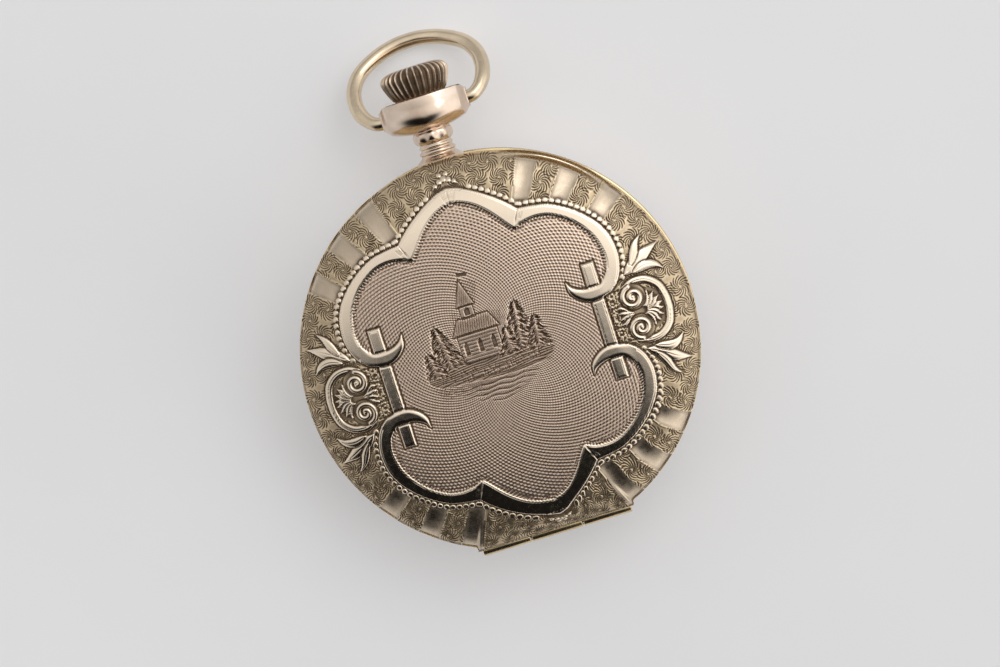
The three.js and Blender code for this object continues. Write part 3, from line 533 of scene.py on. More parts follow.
def sink_field(relief):
    """The flat field, sunk a little; the engine turning is added on the mesh itself."""
    inner_x = BAR_X - BAR_HALF
    in_field = relief.inside([(0, 0), *FIELD_EDGE, (10.2, 3.3), (inner_x, 3.3), (inner_x, 0)])
    relief.h[in_field] = -0.03
    relief.dirt_and_shade[in_field] = 0
    relief.field[in_field] = 1
    return in_field


def cut_flutes(relief, in_field):
    """Plain hollow channels from the bead chain to the rim."""
    gx, gy = relief.grid
    radius = np.hypot(gx, gy)
    bearing = np.degrees(np.arctan2(gx, gy))
    outside = (radius > FLUTE_FOOT) & ~in_field
    for bearing_k in FLUTES:
        across = radius * np.radians(bearing - bearing_k)
        half = 0.70 + 0.06 * (radius - 13.5)
        inside = (np.abs(across) < half) & outside
        channel = np.clip(1 - (across / half) ** 2, 0, 1)
        relief.h = np.where(inside, -0.13 * channel, relief.h)
        # flutes take a tarnish tone, and are darker towards each wall as painted shade in the channel
        toward_wall = soft_step((np.abs(across) / half - 0.6) / 0.4)
        relief.dirt_and_shade = np.where(inside, 0.33 + 0.4 * toward_wall, relief.dirt_and_shade)
        relief.h += 0.06 * np.clip(1 - np.abs(np.abs(across) - half - 0.07) / 0.08, 0, 1) * outside
        relief.polish = np.maximum(relief.polish, 0.7 * inside)


def raise_ribbon(relief, in_field):
    """The polished ribbon, a flat band with bevelled edges and a fine line along each."""
    band = relief.inside(np.concatenate([RIBBON_EDGE, FIELD_EDGE[::-1]]))
    to_outer = relief.near(RIBBON_EDGE, 1.2)
    to_inner = relief.near(FIELD_EDGE, 1.2)
    edge = np.minimum(to_outer, to_inner)
    top = 0.07 * soft_step(edge / 0.14)
    near_band = np.clip(1 - to_outer / 0.42, 0, 1) * ~band
    relief.h = relief.h - 0.045 * soft_step(near_band * 1.6)
    relief.dirt_and_shade = np.maximum(relief.dirt_and_shade * ~band, 0.6 * soft_step(near_band * 1.8) * ~in_field)
    relief.h = np.where(band, top, relief.h)
    relief.polish = np.where(band, 1.0, relief.polish)
    relief.field *= ~band
    for line, amount in ((RIBBON_EDGE, -0.17), (FIELD_EDGE, 0.15)):
        near = relief.near(offset_line(line, amount), 0.2)
        relief.h -= 0.05 * np.clip(1 - near / 0.05, 0, 1) * band
    # the inward cusp is a sharp facet; the tip has fine fanned lines
    relief.cut([(4.68, 10.05), (5.36, 11.6)], 0.1, 0.05, taper=False, dirt_and_shade=0.3)
    for k in range(6):
        turn = 0.06 * k
        at_cusp = [(4.75 + turn, 10.2 - 0.3 * turn), (5.15 + 2 * turn, 11.2 + 0.2 * turn)]
        relief.cut(at_cusp, 0.07, 0.04, dirt_and_shade=0.4)
        at_tip = [(0.03 + turn, 13.75), (0.05 + 0.14 * k, 14.85)]
        relief.cut(at_tip, 0.06, 0.035, taper=False, dirt_and_shade=0.4)
    # rope ticks along the field's edge
    for spot, direction in stations(offset_line(FIELD_EDGE, -0.12), 0.27):
        side = np.array([direction[1], -direction[0]])
        reach = 0.13 * side - 0.06 * direction
        relief.cut([spot - reach, spot + reach], 0.11, 0.06, taper=False)
    near = relief.near(offset_line(FIELD_EDGE, -0.29), 0.2)
    relief.h -= 0.05 * np.clip(1 - near / 0.06, 0, 1)
    return band


def raise_bar(relief):
    """The bar with a square end, between two lines."""
    gx, gy = relief.grid
    bar_edge = np.minimum(BAR_HALF - np.abs(gx - BAR_X), BAR_TOP - gy)
    in_bar = bar_edge > 0
    relief.h = np.where(in_bar, 0.11 * soft_step(bar_edge / 0.14), relief.h)
    relief.polish = np.where(in_bar, 0.9, relief.polish)
    relief.dirt_and_shade *= ~in_bar
    relief.field *= ~in_bar
    # the outer line's full darkness is painted shade along the bar's foot; the inner fine line is tarnish
    # in the cut
    for margin, width, depth, dirt_and_shade in ((0.09, 0.18, 0.1, 1.0), (-0.2, 0.07, 0.04, 0.4)):
        side, top = BAR_HALF + margin, BAR_TOP + margin
        line = [(BAR_X - side, 0), (BAR_X - side, top), (BAR_X + side, top), (BAR_X + side, 0)]
        relief.cut(line, width, depth, taper=False, dirt_and_shade=dirt_and_shade)


def raise_claw(relief, band):
    """The ribbon's claw, which hooks over the bar."""
    gx = relief.grid[0]
    outer = [(11.6, 2.95), (10.9, 2.4), (9.9, 2.1), (8.9, 2.12), (8.05, 2.6), (7.5, 3.3), (7.4, 4.3)]
    inner = [(7.4, 4.3), (7.8, 3.75), (8.4, 3.4), (9.1, 3.25), (10.2, 3.3), (10.9, 3.9), (11.2, 4.5)]
    claw_outer, claw_inner = smooth_curve(outer, 6), smooth_curve(inner, 6)
    claw = relief.inside(np.concatenate([claw_outer, claw_inner]))
    claw_edge = np.minimum(relief.near(claw_outer, 0.8), relief.near(claw_inner, 0.8))
    claw_h = 0.07 + 0.05 * soft_step(claw_edge / 0.3) * soft_step((11.4 - gx) / 1.5)
    bevelled = np.where(gx < 10.8, claw_h * soft_step(claw_edge / 0.12 + 0.25), claw_h)
    relief.h = np.where(claw, bevelled, relief.h)
    relief.polish = np.where(claw, 1.0, relief.polish)
    relief.dirt_and_shade *= ~claw
    relief.field *= ~claw
    outline = np.minimum(relief.near(claw_outer[:-1], 0.3), relief.near(claw_inner[:24], 0.3))
    groove = np.clip(1 - np.abs(outline - 0.08) / 0.09, 0, 1) * ~claw * ~(band & (gx > 10.6))
    relief.h -= 0.1 * groove
    # the dark line round the claw is painted shade at its foot, over a real shallow groove
    relief.dirt_and_shade = np.maximum(relief.dirt_and_shade, groove)


def set_beads(relief):
    """The chain of beads along the ribbon's outside, and a small trefoil over its tip."""
    for spot, direction in stations(offset_line(RIBBON_EDGE, 0.3), 0.56, start=2.0):
        if spot[1] >= 2.9:
            relief.bead(spot, 0.225, 0.045, 0.5, 1.15, direction)
    for dx, dy, size in ((0, 15.85, 0.28), (0.42, 15.7, 0.24), (0.85, 15.45, 0.2), (0.3, 16.25, 0.2)):
        relief.bead((dx, dy), size, 0.12, 0.6)


def raise_palmette(relief):
    """A fan in a C scroll with two volutes, on a dark ground, and the leaves above it."""
    gx, gy = relief.grid
    shell = np.hypot(gx - 13.3, gy) < 1.9
    relief.h[shell] = -0.05
    relief.dirt_and_shade[shell] = 0.5
    c_scroll = [(12.1, 2.25), (12.9, 2.62), (14.0, 2.5), (14.9, 1.75), (15.25, 0.7), (15.3, 0)]
    rim_line = smooth_curve(c_scroll, 8)
    relief.raise_line(rim_line, 0.62, 0.12, 0.7)
    relief.cut(rim_line, 0.07, 0.05, taper=False, dirt_and_shade=0.5)
    relief.cut(offset_line(rim_line, 0.36), 0.14, 0.09, taper=False, dirt_and_shade=1.0)
    relief.cut(offset_line(rim_line, -0.36), 0.12, 0.08, taper=False, dirt_and_shade=0.9)
    for k in range(5):
        a = math.radians(9 + 19.5 * k)
        direction = np.array([math.cos(a), math.sin(a)])
        start = np.array([13.15, 0]) + 0.3 * direction
        end = np.array([13.15, 0]) + 1.72 * direction
        relief.leaf([start, (start + 2 * end) / 3, end], 0.62, 0.15)
    volute = np.array([12.55, 1.36])
    disc = np.hypot(gx - volute[0], gy - volute[1]) < 1.15
    relief.h[disc] = -0.03
    relief.dirt_and_shade[disc] = 0.35
    relief.raise_line(spiral(volute, 0.98, 1.45, 100, 0.2), 0.42, 0.15, 0.8)
    relief.cut(spiral(volute, 1.16, 0.95, 100, 1.16), 0.14, 0.08, taper=False, dirt_and_shade=1.0)
    relief.bead(volute, 0.2, 0.15, 0.8)
    relief.leaf([(11.0, 0.28), (11.6, 0.2), (12.3, 0.05)], 0.42, 0.1)
    relief.leaf([(10.95, 0.75), (11.3, 0.7), (11.9, 0.3)], 0.3, 0.09)
    # acanthus sprays above the scroll
    relief.leaf(smooth_curve([(12.4, 3.35), (13.5, 4.05), (14.7, 4.7), (15.9, 5.2)], 6), 1.15, 0.14)
    relief.leaf(smooth_curve([(13.1, 3.3), (14.2, 3.65), (15.1, 3.5), (15.8, 2.9)], 6), 0.8, 0.13)
    relief.leaf(smooth_curve([(13.1, 3.95), (13.7, 4.9), (14.1, 5.7), (14.7, 6.3)], 6), 0.7, 0.13)


def vignette_relief(step):
    """A small made-up view for the middle: a gabled chapel with a spire, trees, bank and water."""
    relief = Relief((-6.4, -6.6), (6.4, 6.6), step)
    rng = np.random.default_rng(SEED + 1)

    def area(outline, level, polish=0.0, dirt_and_shade=0.35):
        region = relief.inside(outline)
        relief.dirt_and_shade[region] = dirt_and_shade
        relief.h[region] = level
        relief.polish[region] = polish
        relief.mask[region] = 1
        return region

    def hatch(outline, angle, pitch, width, depth, wobble=0.05):
        """Parallel graver lines inside an outline."""
        outline = np.asarray(outline, float)
        d = np.array([math.cos(angle), math.sin(angle)])
        n = np.array([-d[1], d[0]])
        low, high = (outline @ n).min(), (outline @ n).max()
        before = relief.h.copy()
        for s in np.arange(low, high, pitch):
            a, b = (outline @ d).min(), (outline @ d).max()
            t = np.linspace(a, b, 12)
            line = np.outer(t, d) + np.outer(s + rng.normal(0, wobble, 12), n)
            relief.cut(line, width, depth, taper=False)
        region = relief.inside(outline)
        relief.h = np.where(region, relief.h, before)

    # water and bank
    shore = [
        (-5.6, -1.9), (-3.6, -1.3), (-1.0, -1.6), (1.8, -1.3), (4.2, -1.9), (5.8, -2.3), (4.6, -3.1),
        (1.5, -3.4), (-2.0, -3.2), (-4.8, -2.9),
    ]
    bank = smooth_curve(shore, 6, closed=True)
    area(bank, -0.02, dirt_and_shade=0.55)
    hatch(bank, 0.08, 0.2, 0.13, 0.06)
    for k, (y, half) in enumerate(((-3.75, 4.2), (-4.15, 3.4), (-4.55, 2.8), (-4.95, 1.9), (-5.35, 1.0))):
        x = np.linspace(-half, half, 16) + 0.3 * math.sin(k * 2.1)
        relief.cut(np.stack([x, y + 0.07 * np.sin(x * 3 + k)], 1), 0.12, 0.06)
    # chapel body, gable roof and spire
    wall = [(-2.1, -1.6), (1.5, -1.6), (1.5, 0.9), (-2.1, 0.9)]
    roof = [(-2.5, 0.85), (1.8, 0.85), (1.1, 2.3), (-1.7, 2.3)]
    tower = [(-1.2, 2.2), (0.0, 2.2), (0.0, 3.3), (-1.2, 3.3)]
    spire = [(-1.45, 3.25), (0.25, 3.25), (-0.55, 5.6)]
    area(wall, 0.02, 0.3)
    area(roof, 0.04, 0.1, 0.5)
    hatch(roof, 1.35, 0.2, 0.12, 0.05, 0.015)
    area(tower, 0.03, 0.4)
    area(spire, 0.05, 0.1, 0.55)
    hatch(spire, 1.25, 0.16, 0.1, 0.05, 0.01)
    for outline in (wall, roof, tower, spire):
        ring = np.array(outline + outline[:1])
        relief.cut(ring, 0.13, 0.09, taper=False)
    for x in (-1.55, -0.3, 0.9):
        window = [(x - 0.2, -0.9), (x + 0.2, -0.9), (x + 0.2, 0.0), (x, 0.3), (x - 0.2, 0.0)]
        area(window, -0.08)
    door = [(-0.85, 2.45), (-0.35, 2.45), (-0.35, 2.95), (-0.6, 3.15), (-0.85, 2.95)]
    area(door, -0.07)
    relief.cut([(-0.55, 5.5), (-0.55, 6.15)], 0.1, 0.07, taper=False)
    area([(-0.5, 5.85), (0.35, 5.72), (0.3, 6.0), (-0.5, 6.12)], -0.06, dirt_and_shade=1.0)
    hatch(wall, 0.0, 0.3, 0.07, 0.03, 0.01)

    # firs: ragged pointed outlines filled with short drooping cuts
    def fir(cx, foot, width, height, lean=0.0):
        left, right = [], []
        for k in range(9):
            t = k / 8
            reach = width * (1 - t) ** 0.8 * (1.15 if k % 2 == 0 else 0.72)
            x, y = cx + lean * t, foot + height * t
            left.append((x - reach, y))
            right.append((x + reach, y + 0.08))
        area([*left, *right[::-1]], -0.05, dirt_and_shade=0.7)
        for _ in range(int(75 * width * height)):
            t = rng.uniform(0, 0.95)
            side = rng.uniform(-1, 1)
            x = cx + lean * t + side * width * (1 - t) ** 0.8
            y = foot + height * t
            droop = np.array([0.3 * np.sign(side), -0.22 + rng.uniform(-0.1, 0.1)])
            middle = (x + 0.5 * droop[0], y + 0.3 * droop[1])
            relief.cut([(x, y), middle, (x + droop[0], y + droop[1])], 0.1, 0.08)

    fir(3.0, -1.7, 1.5, 4.4, 0.5)
    fir(4.5, -2.0, 1.0, 3.0, 0.3)
    fir(2.0, -1.7, 0.8, 2.4, 0.1)
    fir(-3.3, -1.6, 1.35, 4.0, -0.5)
    fir(-4.7, -2.0, 0.9, 2.3, -0.3)
    # rocks and grass at the water's edge
    for _ in range(110):
        x = rng.uniform(-5.0, 5.0)
        y = -2.2 - 0.9 * rng.uniform() + 0.1 * abs(x) - 0.25
        relief.cut([(x, y), (x + rng.uniform(-0.1, 0.1), y + rng.uniform(0.25, 0.45))], 0.08, 0.06)
    relief.mask = np.clip(blurred(relief.mask, max(1, int(0.05 / step))), 0, 1)
    return relief


def outline_r(angle, lip):
    """The cover's outline: round, with the straight hinge edge and the thumb lip."""
    x, y = np.cos(angle), np.sin(angle)
    r = np.full(angle.shape, CASE_R)
    corner = math.atan2(CHORD, CHORD_HALF)
    under = y < 0
    off = np.abs(np.arctan2(x, -y))  # angle away from the hinge's middle
    half = math.pi / 2 - corner
    chord_r = CHORD / np.maximum(-y, 1e-6)
    r = np.where(under & (off < half), chord_r, r)
    fall = (off - half) / math.radians(0.9)
    corner_r = math.hypot(CHORD, CHORD_HALF)
    r = np.where(under & (off >= half) & (fall < 1), corner_r + (CASE_R - corner_r) * soft_step(fall), r)
    low, high = np.radians(lip)
    t = (angle - low) / (high - low)
    bump = np.where((t > 0) & (t < 1), np.sin(np.pi * np.clip(t, 0, 1)) ** 0.8, 0)
    return r + 0.27 * bump


LIP = (39.0, 73.0)  # where the front cover's thumb lip begins and ends, in degrees from X
BACK_LIP = (129.0, 151.0)
VIGNETTE_AT = (-0.8, 1.7)
FACE_PROFILE = [
    (0, 0.0), (4, 0.03), (8, 0.17), (11, 0.42), (13.4, 0.8), (15.2, 1.3), (16.4, 1.9), (17.1, 2.45),
    (17.42, 2.95), (17.5, 3.2),
]
OUTER_PROFILE = smooth_curve(FACE_PROFILE, 12)


def dome(r):
    """Depth of the cover's face below its top, at a radius."""
    return np.interp(r, OUTER_PROFILE[:, 0], OUTER_PROFILE[:, 1])


TURNING = 120  # engine-turned waves in a circle
# radius, and the distance between two pits there
TURNING_PITCH = (
    (0.3, 0.08), (2.0, 0.115), (4.9, 0.2), (6.1, 0.226), (9.0, 0.265), (11.0, 0.283), (18.0, 0.29),
)


def turning_phase():
    """Radial phase that keeps the crossing lines a set distance apart at every radius."""
    r = np.linspace(0.3, 18, 1800)
    wave = 2 * np.pi / np.interp(r, *np.transpose(TURNING_PITCH))
    along = np.sqrt(np.maximum(wave**2 - (TURNING / r) ** 2, (0.35 * wave) ** 2))
    return r, np.cumsum(along) * (r[1] - r[0])


TURNING_R, TURNING_PHASE = turning_phase()


def turned_field(x, y, r):
    """Engine turning: two crossing families of spiral cuts leave a net of small pits."""
    angle = np.arctan2(y, x)
    pitch = np.interp(r, *np.transpose(TURNING_PITCH))
    weave = np.cos(TURNING * angle) * np.cos(np.interp(r, TURNING_R, TURNING_PHASE))
    return 0.125 * pitch * weave, weave


def ring_radii():
    """Radii and point counts of the face's rings, finer where the engraving needs it."""
    many = TURNING * 8
    spacing = 0.055
    rings = [(r, many // 2) for r in np.linspace(0.25, 3.55, 50)]
    rings += [(r, many) for r in np.arange(3.6, 12.0, spacing)]
    spacing = 0.066
    rings += [(r, 2 * many) for r in np.arange(rings[-1][0] + spacing, 17.47, spacing)]
    return rings


def hollows(relief):
    """How far each point lies below its surroundings; tarnish gathers there."""
    reach = max(2, int(0.22 / relief.step))
    return blurred(relief.h, reach) - relief.h


def mirrored(x, y, r):
    """Where a point of the cover falls on the quarter map; the lower half is drawn a little aside."""
    drift = soft_step((-y - 4.0) / 8.0)
    qx = np.abs(x - 0.9 * drift * np.exp(-((x - 0.5) ** 2) / 10))
    rise = soft_step((-y - 1.0) / 6.0) * soft_step((x + 2.0) / 4.0) * soft_step((15.5 - r) / 1.5)
    return qx, np.abs(y - 0.4 * rise)


def face_ring(r, angle, lip, relief, relief_hollows, vignette, vignette_hollows):
    """Height, polish, field share and cavity on one ring of a cover's face."""
    x, y = r * np.cos(angle), r * np.sin(angle)
    at = mirrored(x, y, r)
    h = relief.sample(relief.h, *at)
    polish = relief.sample(relief.polish, *at)
    field = relief.sample(relief.field, *at)
    cavity = relief.sample(relief_hollows, *at)
    dirt_and_shade = relief.sample(relief.dirt_and_shade, *at)
    weave, pits = turned_field(x, y, np.full(len(angle), r))
    weave, pits = weave * field, pits * field
    if vignette is not None:
        vx, vy = x - VIGNETTE_AT[0], y - VIGNETTE_AT[1]
        away = np.clip((6.2 - np.hypot(vx, vy / 1.02)) / 0.3, 0, 1)
        plain = vignette.sample(vignette.mask, vx, vy) * away
        h = h + vignette.sample(vignette.h, vx, vy) * away
        cavity = cavity + vignette.sample(vignette_hollows, vx, vy) * away
        polish = np.maximum(polish, vignette.sample(vignette.polish, vx, vy) * away)
        dirt_and_shade = np.maximum(dirt_and_shade, vignette.sample(vignette.dirt_and_shade, vx, vy) * away)
    else:
        # a plain polished roundel within two turned lines
        plain = soft_step((4.6 - r) / 0.1)
        line = sum(np.clip(1 - abs(r - line_r) / 0.12, 0, 1) for line_r in (4.65, 5.05))
        h = h - 0.07 * line
        dirt_and_shade = np.maximum(dirt_and_shade, line)
        polish = np.maximum(polish, plain)
    weave, pits = weave * (1 - plain), pits * (1 - plain)
    fade = soft_step((r - 1.0) / 1.5)  # the turning dies out at the very middle
    h = h + weave * fade
    cavity = cavity - 0.06 * pits * fade + 0.075 * dirt_and_shade
    t = np.clip((np.degrees(np.mod(angle, 2 * np.pi)) - lip[0]) / (lip[1] - lip[0]), 0, 1)
    scoop = np.sin(np.pi * t) ** 0.6 * soft_step((r - 16.75) / 0.35)
    h = h * (1 - np.clip(scoop, 0, 1)) - 0.75 * scoop * soft_step((17.9 - r) / 0.9)
    polish = np.maximum(polish * (1 - scoop), 0.8 * scoop)
    cavity = cavity * (1 - np.clip(scoop * 1.4, 0, 1))
    return h, polish, field, cavity


def engraved_cover(cover, face_up, relief, vignette, lip):
    """A cover's engraved face as ring meshes, with its reeded rim and plain inside."""
    rings, polishes, fields, cavities = [], [], [], []
    relief_hollows = hollows(relief)
    vignette_hollows = None if vignette is None else hollows(vignette)
    for r, count in ring_radii():
        angle = full_circle(count) + math.pi / 2
        blend = soft_step((r - 14.6) / (CASE_R - 14.6))
        place_r = r + (outline_r(np.mod(angle, 2 * np.pi), lip) - CASE_R) * blend
        h, polish, field, cavity = face_ring(
            r, angle, lip, relief, relief_hollows, vignette, vignette_hollows
        )
        z = THICKNESS - dome(r) + h if face_up else np.maximum(dome(r) - h, 0)
        rings.append(np.stack([place_r * np.cos(angle), place_r * np.sin(angle), z], 1))
        polishes.append(polish)
        fields.append(field)
        cavities.append(cavity)
    # about equal numbers of points in each piece
    pieces = 4
    share = np.cumsum([len(ring) for ring in rings]) / sum(len(ring) for ring in rings)
    bounds = [int(np.searchsorted(share, k / pieces)) for k in range(pieces)] + [len(rings) - 1]
    for k in range(pieces):
        part = slice(bounds[k], bounds[k + 1] + 1)
        centre, middle = None, []
        if k == 0:
            centre, middle = np.array([0, 0, rings[0][:, 2].mean()]), [0.0]
        verts, quads, tris = ring_surface(rings[part], centre)
        if not face_up:
            quads, tris = quads[:, ::-1], tris[:, ::-1]
        attributes = {
            "polish": np.concatenate([*polishes[part], middle]),
            "field": np.concatenate([*fields[part], [1.0] if middle else []]),
            "cavity": np.concatenate([*cavities[part], middle]),
        }
        name = f"{cover}_face_{k + 1}"
        obj = big_mesh(name, verts, quads, tris, MATERIALS["engraved"], attributes)
        case_piece(obj, cover, "gold", cover)
    rim_and_inside(cover, face_up, rings[-1], lip)


def rim_and_inside(cover, face_up, last, lip):
    """From the face's last ring: a reeded edge, the inner wall and the plain inside."""
    count = len(last)
    angle = full_circle(count) + math.pi / 2
    edge_r = outline_r(np.mod(angle, 2 * np.pi), lip)
    reed = 0.5 + 0.5 * np.cos(angle * count / 4)

    def height(depth):
        return THICKNESS - depth if face_up else depth

    rim = [last]
    rows = (
        (-0.02, 2.98, 0.0), (0.0, 3.06, 0.0), (-0.01, 3.1, 1.0), (-0.01, 3.5, 1.0), (0.0, 3.54, 0.0),
        (-0.03, RIM, 0.0), (-0.4, RIM, 0.0),
    )
    for dr, depth, reeded in rows:
        rim.append(level_ring(edge_r + dr - 0.045 * reeded * reed, angle, height(depth)))
    for dr, depth in ((-0.5, 3.3), (-0.75, 2.95), (-1.2, 2.5)):
        rim.append(level_ring(edge_r[::2] + dr, angle[::2], height(depth)))
    for r in (16.0, 15.0, 13.5, 12.0, 10.0, 8.0, 6.0, 4.0, 2.0, 0.5):
        squeeze = soft_step((r - 13.0) / 4.5)
        depth = dome(min(r + 0.25, 17.0)) + WALL
        rim.append(level_ring(r + (edge_r[::4] - CASE_R) * squeeze, angle[::4], height(depth)))
    verts, quads, tris = ring_surface(rim)
    top, n = len(verts), count // 4
    verts = np.concatenate([verts, [(0, 0, height(WALL))]])
    i = top - n + np.arange(n)
    j = top - n + (np.arange(n) + 1) % n
    tris = np.concatenate([tris, np.stack([i, np.full(n, top), j], 1)])
    if not face_up:
        quads, tris = quads[:, ::-1], tris[:, ::-1]
    obj = big_mesh(f"{cover}_rim_and_inside", verts, quads, tris, MATERIALS["plain"])
    case_piece(obj, cover, "gold", cover)


# ------------------------------------------------------------------ materials


class Nodes:
    """A small helper around one material's node tree."""

    def __init__(self, name):
        self.material = bpy.data.materials.new(name)
        self.material.use_nodes = True
        self.tree = self.material.node_tree
        self.shader = self.tree.nodes["Principled BSDF"]
        self.coords = None

    def add(self, kind, **settings):
        node = self.tree.nodes.new(kind)
        for key, value in settings.items():
            setattr(node, key, value)
        return node

    def link(self, a, b):
        self.tree.links.new(a, b)

    def position(self):
        if self.coords is None:
            self.coords = self.add("ShaderNodeTexCoord").outputs["Object"]
        return self.coords

    def attribute(self, name):
        return self.add("ShaderNodeAttribute", attribute_name=name).outputs["Fac"]

    def noise(self, scale, detail=3.0, roughness=0.5, vector=None):
        node = self.add("ShaderNodeTexNoise")
        node.inputs["Scale"].default_value = scale
        node.inputs["Detail"].default_value = detail
        node.inputs["Roughness"].default_value = roughness
        self.link(vector or self.position(), node.inputs["Vector"])
        return node.outputs["Fac"]

    def voronoi(self, scale, randomness):
        node = self.add("ShaderNodeTexVoronoi")
        node.inputs["Scale"].default_value = scale
        node.inputs["Randomness"].default_value = randomness
        self.link(self.position(), node.inputs["Vector"])
        return node.outputs["Distance"]

    def mapped(self, scale=(1, 1, 1), turn=0.0):
        node = self.add("ShaderNodeMapping")
        node.inputs["Scale"].default_value = scale
        node.inputs["Rotation"].default_value = (0, 0, turn)
        self.link(self.position(), node.inputs["Vector"])
        return node.outputs["Vector"]

    def math(self, operation, a, b=0.0, clamp=False):
        node = self.add("ShaderNodeMath", operation=operation, use_clamp=clamp)
        for socket, value in zip(node.inputs, (a, b)):
            if isinstance(value, (int, float)):
                socket.default_value = value
            else:
                self.link(value, socket)
        return node.outputs[0]

    def span(self, value, low, high, to_low=0.0, to_high=1.0):
        node = self.add("ShaderNodeMapRange")
        node.inputs["From Min"].default_value = low
        node.inputs["From Max"].default_value = high
        node.inputs["To Min"].default_value = to_low
        node.inputs["To Max"].default_value = to_high
        self.link(value, node.inputs["Value"])
        return node.outputs["Result"]

    def mix(self, factor, a, b):
        node = self.add("ShaderNodeMix", data_type="RGBA")
        if isinstance(factor, (int, float)):
            node.inputs[0].default_value = factor
        else:
            self.link(factor, node.inputs[0])
        for index, value in ((6, a), (7, b)):
            if isinstance(value, tuple):
                node.inputs[index].default_value = (*value, 1.0)
            else:
                self.link(value, node.inputs[index])
        return node.outputs[2]

    def bump(self, height, distance_mm, strength=1.0):
        node = self.add("ShaderNodeBump")
        node.inputs["Strength"].default_value = strength
        node.inputs["Distance"].default_value = distance_mm * MM
        self.link(height, node.inputs["Height"])
        self.link(node.outputs["Normal"], self.shader.inputs["Normal"])

    def set(self, **values):
        for key, value in values.items():
            self.shader.inputs[key.replace("_", " ")].default_value = value

    def drive(self, name, value):
        self.link(value, self.shader.inputs[name])


def darker(colour, share):
    return tuple(share * channel for channel in colour)


CENTRE_GOLD = (0.68, 0.525, 0.42)
BORDER_GOLD = (0.62, 0.50, 0.335)
WORN_GOLD = (0.90, 0.775, 0.635)
# dark tarnish colour; the same mix also paints shade along the claw, the bar and the flute walls
PATINA_AND_SHADE = (0.10, 0.062, 0.035)
PLAIN_GOLD = (0.83, 0.655, 0.40)


def engraved_gold():
    n = Nodes("engraved_gold")
    cavity = n.attribute("cavity")
    polish = n.attribute("polish")
    field = n.attribute("field")
    mottle = n.noise(900, 4.0, 0.6)
    warm = n.mix(n.span(field, 0.1, 0.9), BORDER_GOLD, CENTRE_GOLD)
    clouded = n.mix(n.span(mottle, 0.35, 0.7, 0.0, 0.35), warm, (0.62, 0.46, 0.33))
    worn = n.mix(n.span(polish, 0.2, 0.9, 0.0, 0.8), clouded, WORN_GOLD)
    patchy = n.span(mottle, 0.2, 0.6, 0.75, 1.0)
    # darker where the cavity attribute is high: tarnish in hollows and grooves, plus painted shade at the
    # claw, bar and flute walls
    dirt_and_shade = n.math("MULTIPLY", n.span(cavity, 0.012, 0.07), patchy, clamp=True)
    lifted = n.mix(n.span(cavity, -0.015, -0.06, 0.0, 0.75), worn, WORN_GOLD)
    n.drive("Base Color", n.mix(dirt_and_shade, lifted, PATINA_AND_SHADE))
    rough = n.span(polish, 0.0, 1.0, 0.34, 0.13)
    scuffs = n.span(n.noise(2600, 3.0, 0.7), 0.3, 0.75, -0.05, 0.09)
    scuffed = n.math("ADD", rough, scuffs)
    n.drive("Roughness", n.math("ADD", scuffed, n.math("MULTIPLY", dirt_and_shade, 0.3), clamp=True))
    n.drive("Metallic", n.span(dirt_and_shade, 0.3, 1.0, 1.0, 0.55))
    fine = n.noise(14000, 2.0, 0.6)
    n.bump(fine, 0.006, 0.5)
    return n.material


def plain_gold(name="plain_gold", base=PLAIN_GOLD, rough=0.2):
    n = Nodes(name)
    cloud = n.noise(420, 4.0, 0.6)
    n.drive("Base Color", n.mix(n.span(cloud, 0.35, 0.72), base, darker(base, 0.78)))
    scratch = n.noise(1500, 4.0, 0.75, n.mapped((1.0, 14.0, 1.0), 0.5))
    n.drive("Roughness", n.span(scratch, 0.3, 0.75, rough - 0.05, rough + 0.14))
    n.set(Metallic=1.0)
    n.bump(n.noise(5200, 3.0, 0.7, n.mapped((1.0, 8.0, 2.0), 1.0)), 0.004, 0.35)
    return n.material


def polished_rose():
    n = Nodes("polished_rose_gold")
    cloud = n.noise(300, 4.0, 0.55)
    n.drive("Base Color", n.mix(n.span(cloud, 0.35, 0.7), (0.80, 0.68, 0.58), (0.62, 0.48, 0.37)))
    scratch = n.noise(1800, 4.0, 0.8, n.mapped((10.0, 1.0, 1.0)))
    n.drive("Roughness", n.span(scratch, 0.3, 0.8, 0.13, 0.25))
    n.set(Metallic=1.0)
    n.bump(n.noise(900, 3.0, 0.5), 0.012, 0.3)
    return n.material


def steel(name, base, rough):
    n = Nodes(name)
    cloud = n.noise(1500, 3.0, 0.6)
    n.drive("Base Color", n.mix(n.span(cloud, 0.3, 0.7), base, darker(base, 0.82)))
    grain = n.noise(4000, 2.0, 0.7, n.mapped((1.0, 20.0, 1.0)))
    n.drive("Roughness", n.span(grain, 0.3, 0.7, rough, rough + 0.12))
    n.set(Metallic=1.0)
    n.bump(grain, 0.002, 0.4)
    return n.material


def striped_nickel():
    """Nickel with broad straight damascening stripes, as on bridges."""
    n = Nodes("striped_nickel")
    wave = n.add("ShaderNodeTexWave", wave_type="BANDS", bands_direction="X", wave_profile="SAW")
    wave.inputs["Scale"].default_value = 150
    wave.inputs["Distortion"].default_value = 0.4
    wave.inputs["Detail"].default_value = 1.0
    n.link(n.mapped(turn=0.62), wave.inputs["Vector"])
    fine = n.noise(9000, 2.0, 0.6, n.mapped((1.0, 0.15, 1.0), 0.62))
    n.drive("Base Color", n.mix(wave.outputs["Fac"], (0.70, 0.665, 0.60), (0.83, 0.80, 0.74)))
    n.drive("Roughness", n.span(wave.outputs["Fac"], 0.0, 1.0, 0.2, 0.38))
    n.set(Metallic=1.0)
    n.bump(n.math("ADD", wave.outputs["Fac"], n.math("MULTIPLY", fine, 0.3)), 0.006, 0.6)
    return n.material


